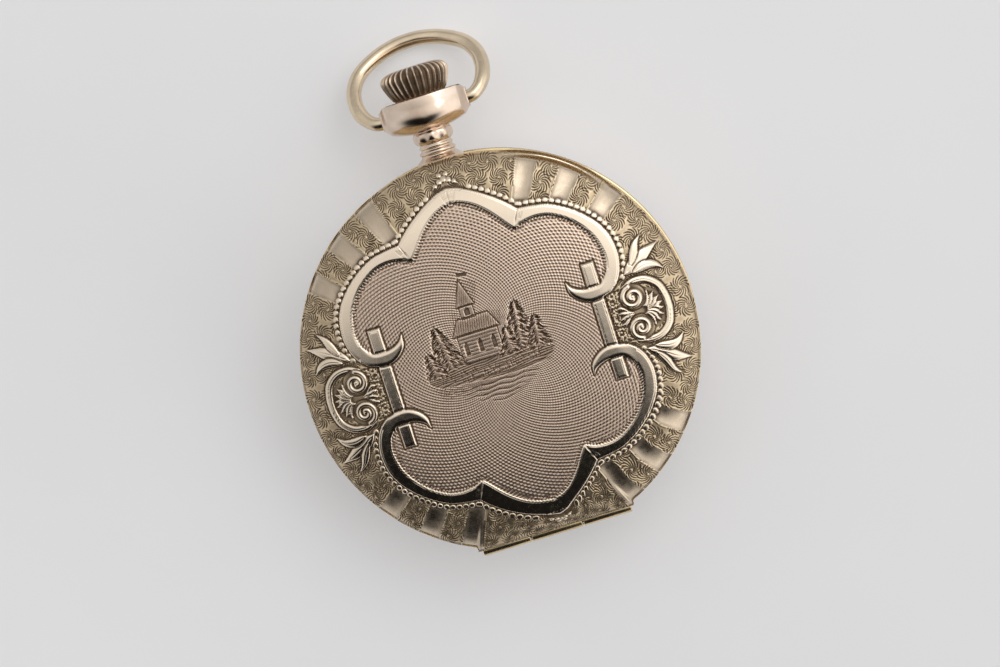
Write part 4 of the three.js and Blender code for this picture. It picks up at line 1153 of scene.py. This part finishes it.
def perlage(name, base):
    """Overlapping spotted circles, as on a plate or a dust cover."""
    n = Nodes(name)
    spots = n.voronoi(900, randomness=0.12)
    rings = n.math("SINE", n.math("MULTIPLY", spots, 38.0))
    n.drive("Base Color", n.mix(n.span(spots, 0.0, 0.7), base, darker(base, 0.72)))
    n.drive("Roughness", n.span(rings, -1.0, 1.0, 0.22, 0.38))
    n.set(Metallic=1.0)
    n.bump(n.math("ADD", rings, n.math("MULTIPLY", spots, 4.0)), 0.002, 0.5)
    return n.material


def wheel_brass(name, base):
    """Brass with a faint cloudy finish."""
    n = Nodes(name)
    cloud = n.noise(1200, 3.0, 0.6)
    n.drive("Base Color", n.mix(n.span(cloud, 0.3, 0.7), base, darker(base, 0.8)))
    n.drive("Roughness", n.span(cloud, 0.3, 0.7, 0.22, 0.36))
    n.set(Metallic=1.0)
    n.bump(cloud, 0.002, 0.4)
    return n.material


def enamel(name, base, rough=0.12):
    n = Nodes(name)
    cloud = n.noise(260, 4.0, 0.6)
    n.drive("Base Color", n.mix(n.span(cloud, 0.3, 0.7), base, darker(base, 0.965)))
    n.drive("Roughness", n.span(n.noise(2400, 3.0, 0.6), 0.3, 0.7, rough, rough + 0.08))
    n.set(Metallic=0.0, Coat_Weight=0.4, Coat_Roughness=0.05)
    n.bump(n.noise(700, 3.0, 0.5), 0.01, 0.25)
    return n.material


def glass():
    n = Nodes("crystal_glass")
    n.set(Metallic=0.0, Transmission_Weight=1.0, IOR=1.45)
    haze = n.noise(500, 4.0, 0.7)
    n.drive("Roughness", n.span(haze, 0.35, 0.8, 0.0, 0.06))
    n.drive("Base Color", n.mix(n.span(haze, 0.3, 0.8), (0.99, 0.995, 0.995), (0.95, 0.96, 0.955)))
    return n.material


def ruby():
    n = Nodes("ruby")
    glow = n.noise(2500, 3.0, 0.6)
    n.drive("Base Color", n.mix(n.span(glow, 0.3, 0.7), (0.55, 0.02, 0.09), (0.75, 0.06, 0.17)))
    n.drive("Roughness", n.span(glow, 0.3, 0.7, 0.05, 0.16))
    n.set(Metallic=0.0, Coat_Weight=0.6, IOR=1.76)
    return n.material


def table_top():
    n = Nodes("pale_table")
    cloud = n.noise(14, 4.0, 0.6)
    pale = n.mix(n.span(cloud, 0.3, 0.7), (0.60, 0.60, 0.61), (0.57, 0.57, 0.58))
    n.drive("Base Color", pale)
    n.drive("Emission Color", pale)
    n.set(Roughness=0.7, **{"Emission Strength": 0.5})
    return n.material


MATERIALS = {
    "engraved": engraved_gold(),
    "plain": plain_gold(),
    "band": plain_gold("band_gold", (0.80, 0.62, 0.36), 0.22),
    "bow": plain_gold("bow_gold", (0.80, 0.665, 0.49), 0.17),
    "rose": polished_rose(),
    "steel": steel("polished_steel", (0.62, 0.63, 0.65), 0.18),
    "blued": steel("blued_steel", (0.045, 0.07, 0.30), 0.16),
    "bridge": striped_nickel(),
    "plate": perlage("spotted_nickel", (0.74, 0.69, 0.60)),
    "dust_cover": perlage("spotted_gold", (0.83, 0.65, 0.38)),
    "brass": wheel_brass("wheel_brass", (0.80, 0.60, 0.27)),
    "enamel": enamel("white_enamel", (0.86, 0.85, 0.81)),
    "ink": enamel("black_enamel", (0.018, 0.018, 0.022), 0.3),
    "glass": glass(),
    "ruby": ruby(),
}

NODE_MATERIALS = {
    "bridge": ("barrel_bridge", "train_bridge", "balance_cock", "pallet_bridge"),
    "plate": ("main_plate",),
    "brass": (
        "barrel_arbor", "mainspring_barrel", "centre_wheel", "third_wheel", "fourth_wheel",
        "hour_wheel", "minute_wheel", "balance_wheel",
    ),
    "steel": (
        "winding_stem", "winding_pinion", "crown_wheel", "ratchet_wheel", "crown_wheel_core", "click",
        "click_stud", "cannon_pinion", "escape_wheel", "pallet_fork", "balance_staff", "regulator",
        "lift_spring", "lock_spring", "front_hinge_pin", "back_hinge_pin", "minute_wheel_stud",
    ),
    "blued": ("click_spring", "hairspring"),
    "ruby": ("balance_cap_jewel",),
}


def dress_cad_nodes():
    for material, names in NODE_MATERIALS.items():
        for name in names:
            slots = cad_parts[name].data.materials
            slots.clear()
            slots.append(MATERIALS[material])
    for name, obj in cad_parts.items():
        if "screw" in name:
            obj.data.materials.clear()
            obj.data.materials.append(MATERIALS["blued"])


# ------------------------------------------------------------------ covers


def make_covers():
    step = 0.022
    relief = border_relief(step)
    vignette = vignette_relief(step)
    engraved_cover("front_cover", True, relief, vignette, LIP)
    engraved_cover("back_cover", False, relief, None, BACK_LIP)
    for cover, inner, z, edge_z in (
        ("front_cover", 2.45, FRONT_HINGE_Z, 8.22),
        ("back_cover", 4.65, BACK_HINGE_Z, 3.18),
    ):
        hinge_edge(f"{cover}_hinge_edge", edge_z, MATERIALS["plain"], cover, cover)
        knuckle(f"{cover}_knuckle_left", -6.8, -inner, z, MATERIALS["plain"], cover, cover)
        knuckle(f"{cover}_knuckle_right", inner, 6.8, z, MATERIALS["plain"], cover, cover)


def knuckle(name, x0, x1, z, material, body, node):
    """A hinge barrel from x0 to x1, bored for the pin."""
    rows = rounded([(PIN_BORE_R, x0), (KNUCKLE_R, x0), (KNUCKLE_R, x1), (PIN_BORE_R, x1)], 0.06, 2)
    case_piece(tube_x(name, rows, z, material), body, "gold", node)


def hinge_edge(name, z, material, body, node):
    """The straight polished edge that runs along a cover above its hinge."""
    rings = []
    angle = full_circle(24)
    for x in np.linspace(-7.05, 7.05, 41):
        size = 0.55 + 0.45 * soft_step((7.05 - abs(x)) / 0.5)
        ring = [np.full(24, x), -16.2 + 0.2 * size * np.cos(angle), z + 0.2 * size * np.sin(angle)]
        rings.append(np.stack(ring, 1))
    loft(name, rings, material, body, "gold", node)


# ------------------------------------------------------------------ band, bezel, crystal and dust cover
BAND_FLAT = 16.85  # the band's hinge side, from the centre
BAND_LOW, BAND_HIGH = 3.72, 7.68


def flattened(angle, r):
    """Keeps a ring's hinge side behind the hinge barrels."""
    limit = BAND_FLAT / np.maximum(-np.sin(angle), 1e-6)
    return np.minimum(r, np.where(np.sin(angle) < 0, limit, r))


def make_band():
    """Outer band with a milled middle strip, a dust-cover ledge and a channel for the case springs."""
    profile = [
        (15.1, BAND_LOW + 0.05), (15.2, BAND_LOW), (17.15, BAND_LOW), (17.27, BAND_LOW + 0.06),
        (17.3, BAND_LOW + 0.16),
        (17.3, 4.35), (17.24, 4.4), (17.18, 4.46), (17.18, 4.54), (17.24, 4.6), (17.28, 4.66),
        (17.29, 4.95), (17.29, 5.7), (17.29, 6.45),
        (17.28, 6.74), (17.24, 6.8), (17.18, 6.86), (17.18, 6.94), (17.24, 7.0), (17.3, 7.05),
        (17.3, 7.5), (17.27, 7.62), (17.15, BAND_HIGH), (15.2, BAND_HIGH), (15.1, BAND_HIGH - 0.05),
        (15.1, 6.95),
        (15.1, 6.9), (16.0, 6.9), (16.0, 5.0), (15.1, 5.0), (15.1, 4.72), (14.35, 4.72),
        (14.35, 4.3), (15.1, 4.3),
    ]
    ridges = 288

    def milled(angle, r, h):
        on_strip = 4.9 < h < 6.5 and r > 17
        groove = 0.06 * (0.5 + 0.5 * np.cos(ridges * angle)) if on_strip else 0
        return flattened(angle, r - groove)

    segments = ridges * 4
    band = lathe("centre_band_milled", profile, MATERIALS["band"], segments, shape=milled)
    bore = cylinder_tool(1.25, (0, 14.0, MID_Z), (0, 18.5, MID_Z))
    carve(band, bore)
    case_piece(band, "case", "gold", "centre_band")
    for label, z in (("front", FRONT_HINGE_Z), ("back", BACK_HINGE_Z)):
        knuckle(f"band_{label}_knuckle", -2.3, 2.3, z, MATERIALS["band"], "case", "centre_band")


def cylinder_tool(radius, start, end, segments=64):
    start, end = np.array(start, float), np.array(end, float)
    ahead = (end - start) / np.linalg.norm(end - start)
    side = np.cross(ahead, [0, 0, 1.0] if abs(ahead[2]) < 0.9 else [1.0, 0, 0])
    side /= np.linalg.norm(side)
    other = np.cross(ahead, side)
    angle = full_circle(segments)
    circle = radius * (np.outer(np.cos(angle), side) + np.outer(np.sin(angle), other))
    verts = np.concatenate([start + circle, end + circle])
    i = list(range(segments))
    faces = [(k, (k + 1) % segments, (k + 1) % segments + segments, k + segments) for k in i]
    faces += [tuple(i[::-1]), tuple(k + segments for k in i)]
    tool = make_object("tool", verts, faces, MATERIALS["plain"], smooth=True)
    clean(tool)
    return tool


def carve(obj, tool):
    """Cuts the tool out of the piece and removes the tool."""
    modifier = obj.modifiers.new("cut", "BOOLEAN")
    modifier.operation, modifier.object, modifier.solver = "DIFFERENCE", tool, "EXACT"
    graph = bpy.context.evaluated_depsgraph_get()
    mesh = bpy.data.meshes.new_from_object(obj.evaluated_get(graph))
    obj.modifiers.clear()
    old, obj.data = obj.data, mesh
    bpy.data.meshes.remove(old)
    bpy.data.objects.remove(tool)


def make_bezel_and_crystal():
    bezel = smooth_curve([
        (13.92, 7.4), (14.6, 7.37), (15.5, 7.38), (15.76, 7.5), (15.8, 7.75), (15.7, 7.98),
        (15.4, 8.2), (15.25, 8.3),
        (15.2, 8.45), (15.05, 8.7), (14.85, 8.86), (14.65, 8.88), (14.56, 8.8), (14.55, 8.6),
        (14.55, 8.32), (14.45, 8.28),
        (14.1, 8.26), (13.95, 8.1), (13.9, 7.8),
    ], 3, closed=True)
    case_piece(lathe("bezel_turned", bezel, MATERIALS["band"], 256), "case", "gold", "bezel")
    outer = [
        (0.02, 10.32), (2, 10.3), (4, 10.22), (6.5, 10.03), (9, 9.74), (11, 9.43), (12.8, 9.1),
        (13.9, 8.86), (14.35, 8.74), (14.5, 8.62), (14.5, 8.42),
    ]
    inner = [
        (14.4, 8.36), (14.0, 8.36), (13.6, 8.46), (12.4, 8.75), (10.6, 9.1), (8.5, 9.4), (6, 9.6),
        (3, 9.72), (0.02, 9.75),
    ]
    profile = np.concatenate([smooth_curve(outer, 3), smooth_curve(inner, 3)])
    case_piece(lathe("crystal_domed", profile, MATERIALS["glass"], 192), "case", "glass", "crystal")


def make_dust_cover():
    """The inner cover: a thin spotted dish with a rolled rim, a thumb lip and its own hinge barrels."""
    profile = np.concatenate([
        smooth_curve([
            (0.02, 1.5), (6, 1.5), (12.3, 1.5), (13.6, 1.66), (14.9, 2.2), (15.7, 2.85), (16.05, 3.2),
        ], 4),
        [(16.1, 3.3), (16.1, 3.52), (16.04, 3.58), (15.8, 3.58), (15.74, 3.5)],
        smooth_curve([(15.5, 3.1), (14.7, 2.5), (13.5, 1.96), (12.4, 1.8), (6, 1.8), (0.02, 1.8)], 4),
    ])
    low, high = np.radians((82.0, 98.0))

    def lipped(angle, r, h):
        t = (np.mod(angle, 2 * np.pi) - low) / (high - low)
        bump = np.where((t > 0) & (t < 1), np.sin(np.pi * np.clip(t, 0, 1)) ** 0.7, 0)
        return r + (0.35 * bump if r > 16 else 0)

    dish = lathe("dust_cover_dish", profile, MATERIALS["dust_cover"], 256, shape=lipped)
    case_piece(dish, "inner_cover", "gold", "inner_cover")
    for label, x0, x1 in (("left", -4.5, -2.45), ("right", 2.45, 4.5)):
        name = f"dust_cover_knuckle_{label}"
        knuckle(name, x0, x1, BACK_HINGE_Z, MATERIALS["plain"], "inner_cover", "inner_cover")


# ------------------------------------------------------------------ dial and hands
DIAL_TOP = 7.25
SECONDS_X = 6.6  # the small seconds dial's centre


def flat_strokes(name, polygons, heights, material, body, slot, node):
    """Thin raised prints: each polygon becomes one low block."""
    low, high = heights
    verts, faces = [], []
    for polygon in polygons:
        base = len(verts)
        count = len(polygon)
        verts += [(x, y, low) for x, y in polygon] + [(x, y, high) for x, y in polygon]
        faces.append(tuple(base + count + k for k in range(count)))
        faces.append(tuple(base + k for k in range(count))[::-1])
        for k in range(count):
            after = (k + 1) % count
            faces.append((base + k, base + after, base + count + after, base + count + k))
    obj = make_object(name, verts, faces, material)
    clean(obj)
    case_piece(obj, body, slot, node)


def dial_point(turn, r, aside=0.0):
    """A point at a share of a turn past twelve, r out, and so far clockwise from there."""
    a = math.pi * (1 - 2 * turn)
    return r * math.cos(a) + aside * math.sin(a), r * math.sin(a) - aside * math.cos(a)


def stroke_block(turn, r0, r1, aside0, aside1, width, centre=(0.0, 0.0)):
    """A straight stroke between two radii, as a four-sided block."""
    half = width / 2
    corners = [(r0, aside0 - half), (r0, aside0 + half), (r1, aside1 + half), (r1, aside1 - half)]
    points = [dial_point(turn, r, a) for r, a in corners]
    return [(x + centre[0], y + centre[1]) for x, y in points]


ROMAN = ("XII", "I", "II", "III", "IIII", "V", "VI", "VII", "VIII", "IX", "X", "XI")


def roman(hour, low, high):
    """A Roman numeral standing on the dial with its foot toward the centre."""
    widths = {"I": 0.5, "V": 1.15, "X": 1.15}
    text = ROMAN[hour % 12]
    total = sum(widths[c] for c in text)
    at, out = -total / 2, []
    turn = hour / 12
    for c in text:
        w = widths[c]
        mid = at + w / 2
        lean = w / 2 - 0.16
        if c == "I":
            out.append(stroke_block(turn, low, high, mid, mid, 0.24))
        if c == "V":
            out.append(stroke_block(turn, low, high, mid, mid - lean, 0.25))
            out.append(stroke_block(turn, low, high, mid, mid + lean, 0.1))
        if c == "X":
            out.append(stroke_block(turn, low, high, mid + lean, mid - lean, 0.25))
            out.append(stroke_block(turn, low, high, mid - lean, mid + lean, 0.1))
        at += w
    out.append(stroke_block(turn, low - 0.03, low + 0.05, 0, 0, total))
    out.append(stroke_block(turn, high - 0.05, high + 0.03, 0, 0, total))
    return out


def ring_blocks(r, width, count, centre=(0.0, 0.0)):
    """A printed circle, as short chords."""
    out = []
    for k in range(count):
        a, b = k / count, (k + 1) / count
        inner, outer = r - width / 2, r + width / 2
        quad = [dial_point(a, inner), dial_point(a, outer), dial_point(b, outer), dial_point(b, inner)]
        out.append([(x + centre[0], y + centre[1]) for x, y in quad])
    return out


def make_dial():
    profile = [
        (0.42, 7.02), (0.42, 7.22), (0.5, DIAL_TOP), (6, DIAL_TOP), (13.0, DIAL_TOP - 0.01),
        (13.9, DIAL_TOP - 0.05),
        (14.25, 7.17), (14.3, 7.1), (14.3, 7.02),
    ]
    plate = lathe("dial_enamel", profile, MATERIALS["enamel"], 200)
    well = cylinder_tool(2.95, (SECONDS_X, 0, DIAL_TOP - 0.08), (SECONDS_X, 0, 8))
    hole = cylinder_tool(0.25, (SECONDS_X, 0, 6.5), (SECONDS_X, 0, 8), 32)
    carve(plate, well)
    carve(plate, hole)
    case_piece(plate, "case", "enamel", "dial")
    prints = []
    for hour in range(12):
        if hour != 6:
            prints += roman(hour, 9.3, 11.6)
    for minute in range(60):
        width = 0.16 if minute % 5 == 0 else 0.07
        prints.append(stroke_block(minute / 60, 12.3, 12.95, 0, 0, width))
    prints += ring_blocks(12.25, 0.07, 180) + ring_blocks(13.0, 0.07, 180)
    heights = (DIAL_TOP - 0.02, DIAL_TOP + 0.015)
    flat_strokes("dial_prints", prints, heights, MATERIALS["ink"], "case", "enamel", "dial")
    small = []
    centre = (SECONDS_X, 0.0)
    for second in range(60):
        low = 2.25 if second % 5 else 2.05
        width = 0.05 if second % 5 else 0.1
        small.append(stroke_block(second / 60, low, 2.5, 0, 0, width, centre))
    small += ring_blocks(2.55, 0.05, 120, centre) + ring_blocks(2.0, 0.04, 120, centre)
    heights = (DIAL_TOP - 0.1, DIAL_TOP - 0.065)
    flat_strokes("seconds_prints", small, heights, MATERIALS["ink"], "case", "enamel", "dial")


def hand(name, length, stem, spade, boss, heights, aim, centre, body):
    """A spade hand: round boss, tapering stem and a leaf-shaped spade with a fine tip."""
    ring = [(boss * math.cos(a), boss * math.sin(a)) for a in full_circle(32)]
    shoulder = 0.62 * length
    rod = [(0, -stem / 2), (shoulder, -stem / 3), (shoulder, stem / 3), (0, stem / 2)]
    half = [(shoulder - 0.04 * length, 0.02), (shoulder, spade * 0.6), (shoulder + 0.07 * length, spade)]
    half += [(shoulder + 0.14 * length, spade * 0.75), (shoulder + 0.22 * length, stem * 0.3)]
    half.append((length, 0.02))
    half = smooth_curve(half, 5)
    blade = np.concatenate([half, half[::-1] * [1, -1]])
    tail = [(-1.6 * boss, -stem / 2), (0, -stem / 2), (0, stem / 2), (-1.6 * boss, stem / 2)]
    c, d = math.cos(math.radians(aim)), math.sin(math.radians(aim))
    shapes = []
    for shape in (ring, rod, blade, tail):
        shapes.append([(centre + x * c - y * d, x * d + y * c) for x, y in shape])
    flat_strokes(f"{name}_spade", shapes, heights, MATERIALS["blued"], body, "blued_steel", name)


def make_hands():
    hand("hour_hand", 7.2, 0.5, 0.75, 0.75, (7.64, 7.8), -124.5, 0.0, "hour_wheel")
    hand("minute_hand", 11.2, 0.42, 0.55, 0.6, (8.04, 8.18), 126.0, 0.0, "centre_wheel")
    hand("seconds_hand", 2.7, 0.13, 0.1, 0.28, (7.42, 7.52), 200.0, SECONDS_X, "fourth_wheel")


# ------------------------------------------------------------------ pendant, crown and bow


def loft(name, rings, material, body, slot, node, attributes=None):
    """A closed skin over equal rings of points, capped at both ends."""
    count = len(rings[0])
    verts = np.concatenate([*rings, [rings[0].mean(0)], [rings[-1].mean(0)]])
    quads = strip_quads(len(rings), count, False)
    i = np.arange(count)
    j = (i + 1) % count
    first, last = len(verts) - 2, len(verts) - 1
    end = (len(rings) - 1) * count
    first_cap = np.stack([j, i, np.full(count, first)], 1)
    last_cap = np.stack([end + i, end + j, np.full(count, last)], 1)
    obj = big_mesh(name, verts, quads, np.concatenate([first_cap, last_cap]), material, attributes)
    clean(obj)
    case_piece(obj, body, slot, node)


HEAD_HALF = 3.93  # half the head's width across the two ears


def pendant_ring(radius, angle, y):
    """Points round the pendant's axis, at y from the case's centre."""
    return np.stack([radius * np.cos(angle), np.full(len(angle), y), MID_Z - radius * np.sin(angle)], 1)


def make_pendant():
    """Flange, turned neck and bulb below a crescent head that carries the bow and cradles the crown."""
    neck = [
        (1.15, 15.7), (1.15, 17.08), (1.85, 17.1), (2.04, 17.16), (2.12, 17.3), (2.11, 17.44),
        (2.0, 17.56),
        (1.76, 17.74), (1.58, 17.9), (1.52, 18.0), (1.58, 18.1), (1.64, 18.22), (1.58, 18.36),
        (1.46, 18.46),
        (1.42, 18.54), (1.46, 18.62), (1.52, 18.72), (1.48, 18.84), (1.41, 18.92), (1.42, 19.0),
        (1.55, 19.1),
        (1.66, 19.28), (1.72, 19.5), (1.73, 19.75), (1.68, 19.98), (1.55, 20.2), (1.42, 20.4),
        (1.36, 20.7), (1.3, 21.2),
        (0.5, 21.3),
    ]
    angle = full_circle(128)
    rings = []
    for r, y in neck:
        bulb = soft_step((y - 19.1) / 0.2) * soft_step((20.3 - y) / 0.2)
        radius = r * (1 + 0.045 * bulb * np.cos(8 * angle))
        rings.append(pendant_ring(radius, angle, y))
    loft("pendant_neck_turned", rings, MATERIALS["rose"], "case", "rose_gold", "pendant_neck")
    rings = []
    across = HEAD_HALF * np.sin(np.linspace(-np.pi / 2, np.pi / 2, 73))
    for x in across:
        t = abs(x) / HEAD_HALF
        ear = soft_step((t - 0.62) / 0.3)
        end = soft_step((t - 0.84) / 0.16)
        foot = 20.0 + 0.8 * t**2 + 0.32 * end
        rim = 23.14 + 0.06 * t**2 - 0.42 * end
        floor = 22.2 + (rim - 22.22) * ear
        middle = 21.1 + 0.8 * t
        deep = math.sqrt(2.9**2 * max(1 - t**2, 0) ** 1.3 + 1.12**2)
        deep *= 1 - 0.3 * end
        # half a section, from the bottom round the outside, over the rim and down into the cup
        half = smooth_curve([
            (0, foot), (0.45 * deep, foot + 0.05), (0.8 * deep, foot + 0.38 * (middle - foot)),
            (deep, middle),
            (0.985 * deep, middle + 0.6 * (rim - middle)), (0.96 * deep, rim - 0.02),
            (0.93 * deep, rim - 0.03),
            (0.88 * deep, floor + 0.4 * (rim - floor)), (0.5 * deep, floor + 0.05), (0, floor),
        ], 8)
        other = half[-2:0:-1] * [-1, 1]
        section = np.concatenate([half, other])
        rings.append(np.stack([np.full(len(section), x), section[:, 1], MID_Z + section[:, 0]], 1))
    loft("pendant_head", rings, MATERIALS["rose"], "case", "rose_gold", "pendant_neck")


def make_crown():
    """A wide low onion with deep flutes between thin ridges."""
    flutes = 30
    segments = flutes * 16
    rows = np.array([
        (1.15, 22.62), (1.15, 23.1), (1.95, 23.12), (2.2, 23.2), (2.42, 23.4), (2.6, 23.7),
        (2.76, 24.05), (2.9, 24.4),
        (3.0, 24.7), (3.05, 24.92), (3.06, 25.1), (3.0, 25.3), (2.88, 25.48), (2.7, 25.62),
        (2.45, 25.74),
        (2.1, 25.83), (1.6, 25.88), (1.0, 25.9), (0.4, 25.9),
    ])
    angle = full_circle(segments)
    rings, cavity = [], []
    for r, h in rows:
        deep = 0.32 * soft_step((h - 23.1) / 0.3) * soft_step((r - 1.4) / 1.1)
        groove = 1 - np.abs(np.cos(flutes * angle / 2)) ** 7
        radius = r - deep * groove * (r / 3.0)
        rings.append(pendant_ring(radius, angle, h))
        cavity.append(0.12 * groove * deep / 0.32 - 0.02)
    attributes = {
        "cavity": np.concatenate([*cavity, [0.0, 0.0]]),
        "polish": np.full(segments * len(rows) + 2, 0.3),
        "field": np.full(segments * len(rows) + 2, 0.55),
    }
    loft("crown_fluted", rings, MATERIALS["engraved"], "crown", "gold", "crown", attributes)


def make_bow():
    """Round wire in a wide oval, entering the head at both ears."""
    half = np.array([
        (3.7, 0.0), (4.2, 0.03), (4.68, 0.28), (5.2, 0.85), (5.64, 1.75), (5.86, 3.1), (5.65, 4.6),
        (4.75, 6.1),
        (3.0, 7.3), (1.3, 7.88), (0, 8.0),
    ])
    line = smooth_curve(np.concatenate([half, half[-2::-1] * [-1, 1]]), 10)
    radius = 0.6 + 0.07 * soft_step((line[:, 1] - 0.3) / 1.5)
    tilt = np.array(Matrix.Rotation(BOW_TILT, 3, "X"))
    sides = 40
    angle = full_circle(sides)
    ahead = np.gradient(line, axis=0)
    ahead /= np.linalg.norm(ahead, axis=1)[:, None]
    rings = []
    for p, d, r in zip(line, ahead, radius):
        normal = np.array([-d[1], d[0], 0])
        circle = np.outer(np.cos(angle), normal) + np.outer(np.sin(angle), [0, 0, 1])
        ring = np.array([*p, 0]) + r * circle
        rings.append(ring @ tilt.T + [0, PIVOT_Y, MID_Z])
    loft("bow_ring", rings, MATERIALS["bow"], "bow", "gold", "bow")


# ------------------------------------------------------------------ stage


def make_stage():
    low = CAD_BOX[0][2] / MM
    size = 900.0
    verts = [(-size, -size, low), (size, -size, low), (size, size, low), (-size, size, low)]
    floor = make_object("table_top", verts, [(0, 1, 2, 3)], table_top())
    scene = bpy.context.scene
    world = bpy.data.worlds.new("studio")
    scene.world = world
    world.use_nodes = True
    scene.view_settings.view_transform = "Standard"
    shine_from_one_side(world.node_tree)
    soft_box("key_light", (150, 260, 330), (260, 200), 0.2)


# across and up the view
RIGHT = np.array([0.953, -0.304, 0.0])
UP = np.array([0.304, 0.953, 0.0])


def shine_from_one_side(tree):
    """A pale room with one dark side: dark where the hinge half of a cover looks, bright elsewhere."""
    dark_side = -0.70 * UP + np.array([0, 0, 0.70])
    dark_side /= np.linalg.norm(dark_side)
    coords = tree.nodes.new("ShaderNodeTexCoord")
    dot = tree.nodes.new("ShaderNodeVectorMath")
    dot.operation = "DOT_PRODUCT"
    dot.inputs[1].default_value = dark_side
    tree.links.new(coords.outputs["Generated"], dot.inputs[0])
    ramp = tree.nodes.new("ShaderNodeValToRGB")
    stops = (
        (0.0, 0.35), (0.25, 0.6), (0.5, 1.02), (0.75, 1.16), (0.835, 0.78), (0.87, 0.36), (0.90, 0.08),
        (0.935, 0.01),
    )
    elements = ramp.color_ramp.elements
    for place, level in stops[1:-1]:
        elements.new(place)
    for element, (place, level) in zip(elements, stops):
        element.position = place
        element.color = (level, level * 0.985, level * 0.965, 1)
    half = tree.nodes.new("ShaderNodeMath")
    half.operation = "MULTIPLY_ADD"
    half.inputs[1].default_value = 0.5
    half.inputs[2].default_value = 0.5
    tree.links.new(dot.outputs["Value"], half.inputs[0])
    tree.links.new(half.outputs[0], ramp.inputs["Fac"])
    background = tree.nodes["Background"]
    tree.links.new(ramp.outputs["Color"], background.inputs["Color"])
    # a little brighter on the right
    aside = tree.nodes.new("ShaderNodeVectorMath")
    aside.operation = "DOT_PRODUCT"
    aside.inputs[1].default_value = RIGHT * 0.4
    tree.links.new(coords.outputs["Generated"], aside.inputs[0])
    strength = tree.nodes.new("ShaderNodeMath")
    strength.operation = "ADD"
    strength.inputs[1].default_value = 0.97
    tree.links.new(aside.outputs["Value"], strength.inputs[0])
    tree.links.new(strength.outputs[0], background.inputs["Strength"])


def soft_box(name, place, size, power):
    """A rectangular light that faces the watch; its place is right, up the view and above."""
    light = bpy.data.lights.new(name, "AREA")
    light.shape = "RECTANGLE"
    light.size, light.size_y = size[0] * MM, size[1] * MM
    light.energy = power
    obj = linked(name, light)
    where = (place[0] * RIGHT + place[1] * UP + np.array([0, 0, place[2]])) * MM
    obj.location = where
    obj.rotation_euler = (-Vector(where)).to_track_quat("-Z", "Y").to_euler()


def make_camera():
    lens = 100.0
    sensor = 36.0
    width = 88.0  # of the view, at the watch
    distance = lens / sensor * width
    target = np.array([0, 0, MID_Z]) + 1.27 * UP - 0.1 * RIGHT
    tilt = math.radians(7.5)
    toward = 0.93 * UP + 0.36 * RIGHT
    toward /= np.linalg.norm(toward)
    place = target + distance * (math.sin(tilt) * toward + math.cos(tilt) * np.array([0, 0, 1]))
    camera = bpy.data.cameras.new("camera")
    camera.lens = lens
    camera.sensor_width = sensor
    camera.clip_start, camera.clip_end = 0.01, 10.0
    obj = linked("camera", camera)
    back = (place - target) / np.linalg.norm(place - target)
    side = np.cross(UP, back)
    side /= np.linalg.norm(side)
    top = np.cross(back, side)
    rotation = Matrix([[side[k], top[k], back[k]] for k in range(3)])
    obj.matrix_world = Matrix.Translation(Vector(place * MM)) @ rotation.to_4x4()
    bpy.context.scene.camera = obj


make_camera()
make_stage()
dress_cad_nodes()
make_covers()
make_band()
make_bezel_and_crystal()
make_dust_cover()
make_dial()
make_hands()
make_pendant()
make_crown()
make_bow()
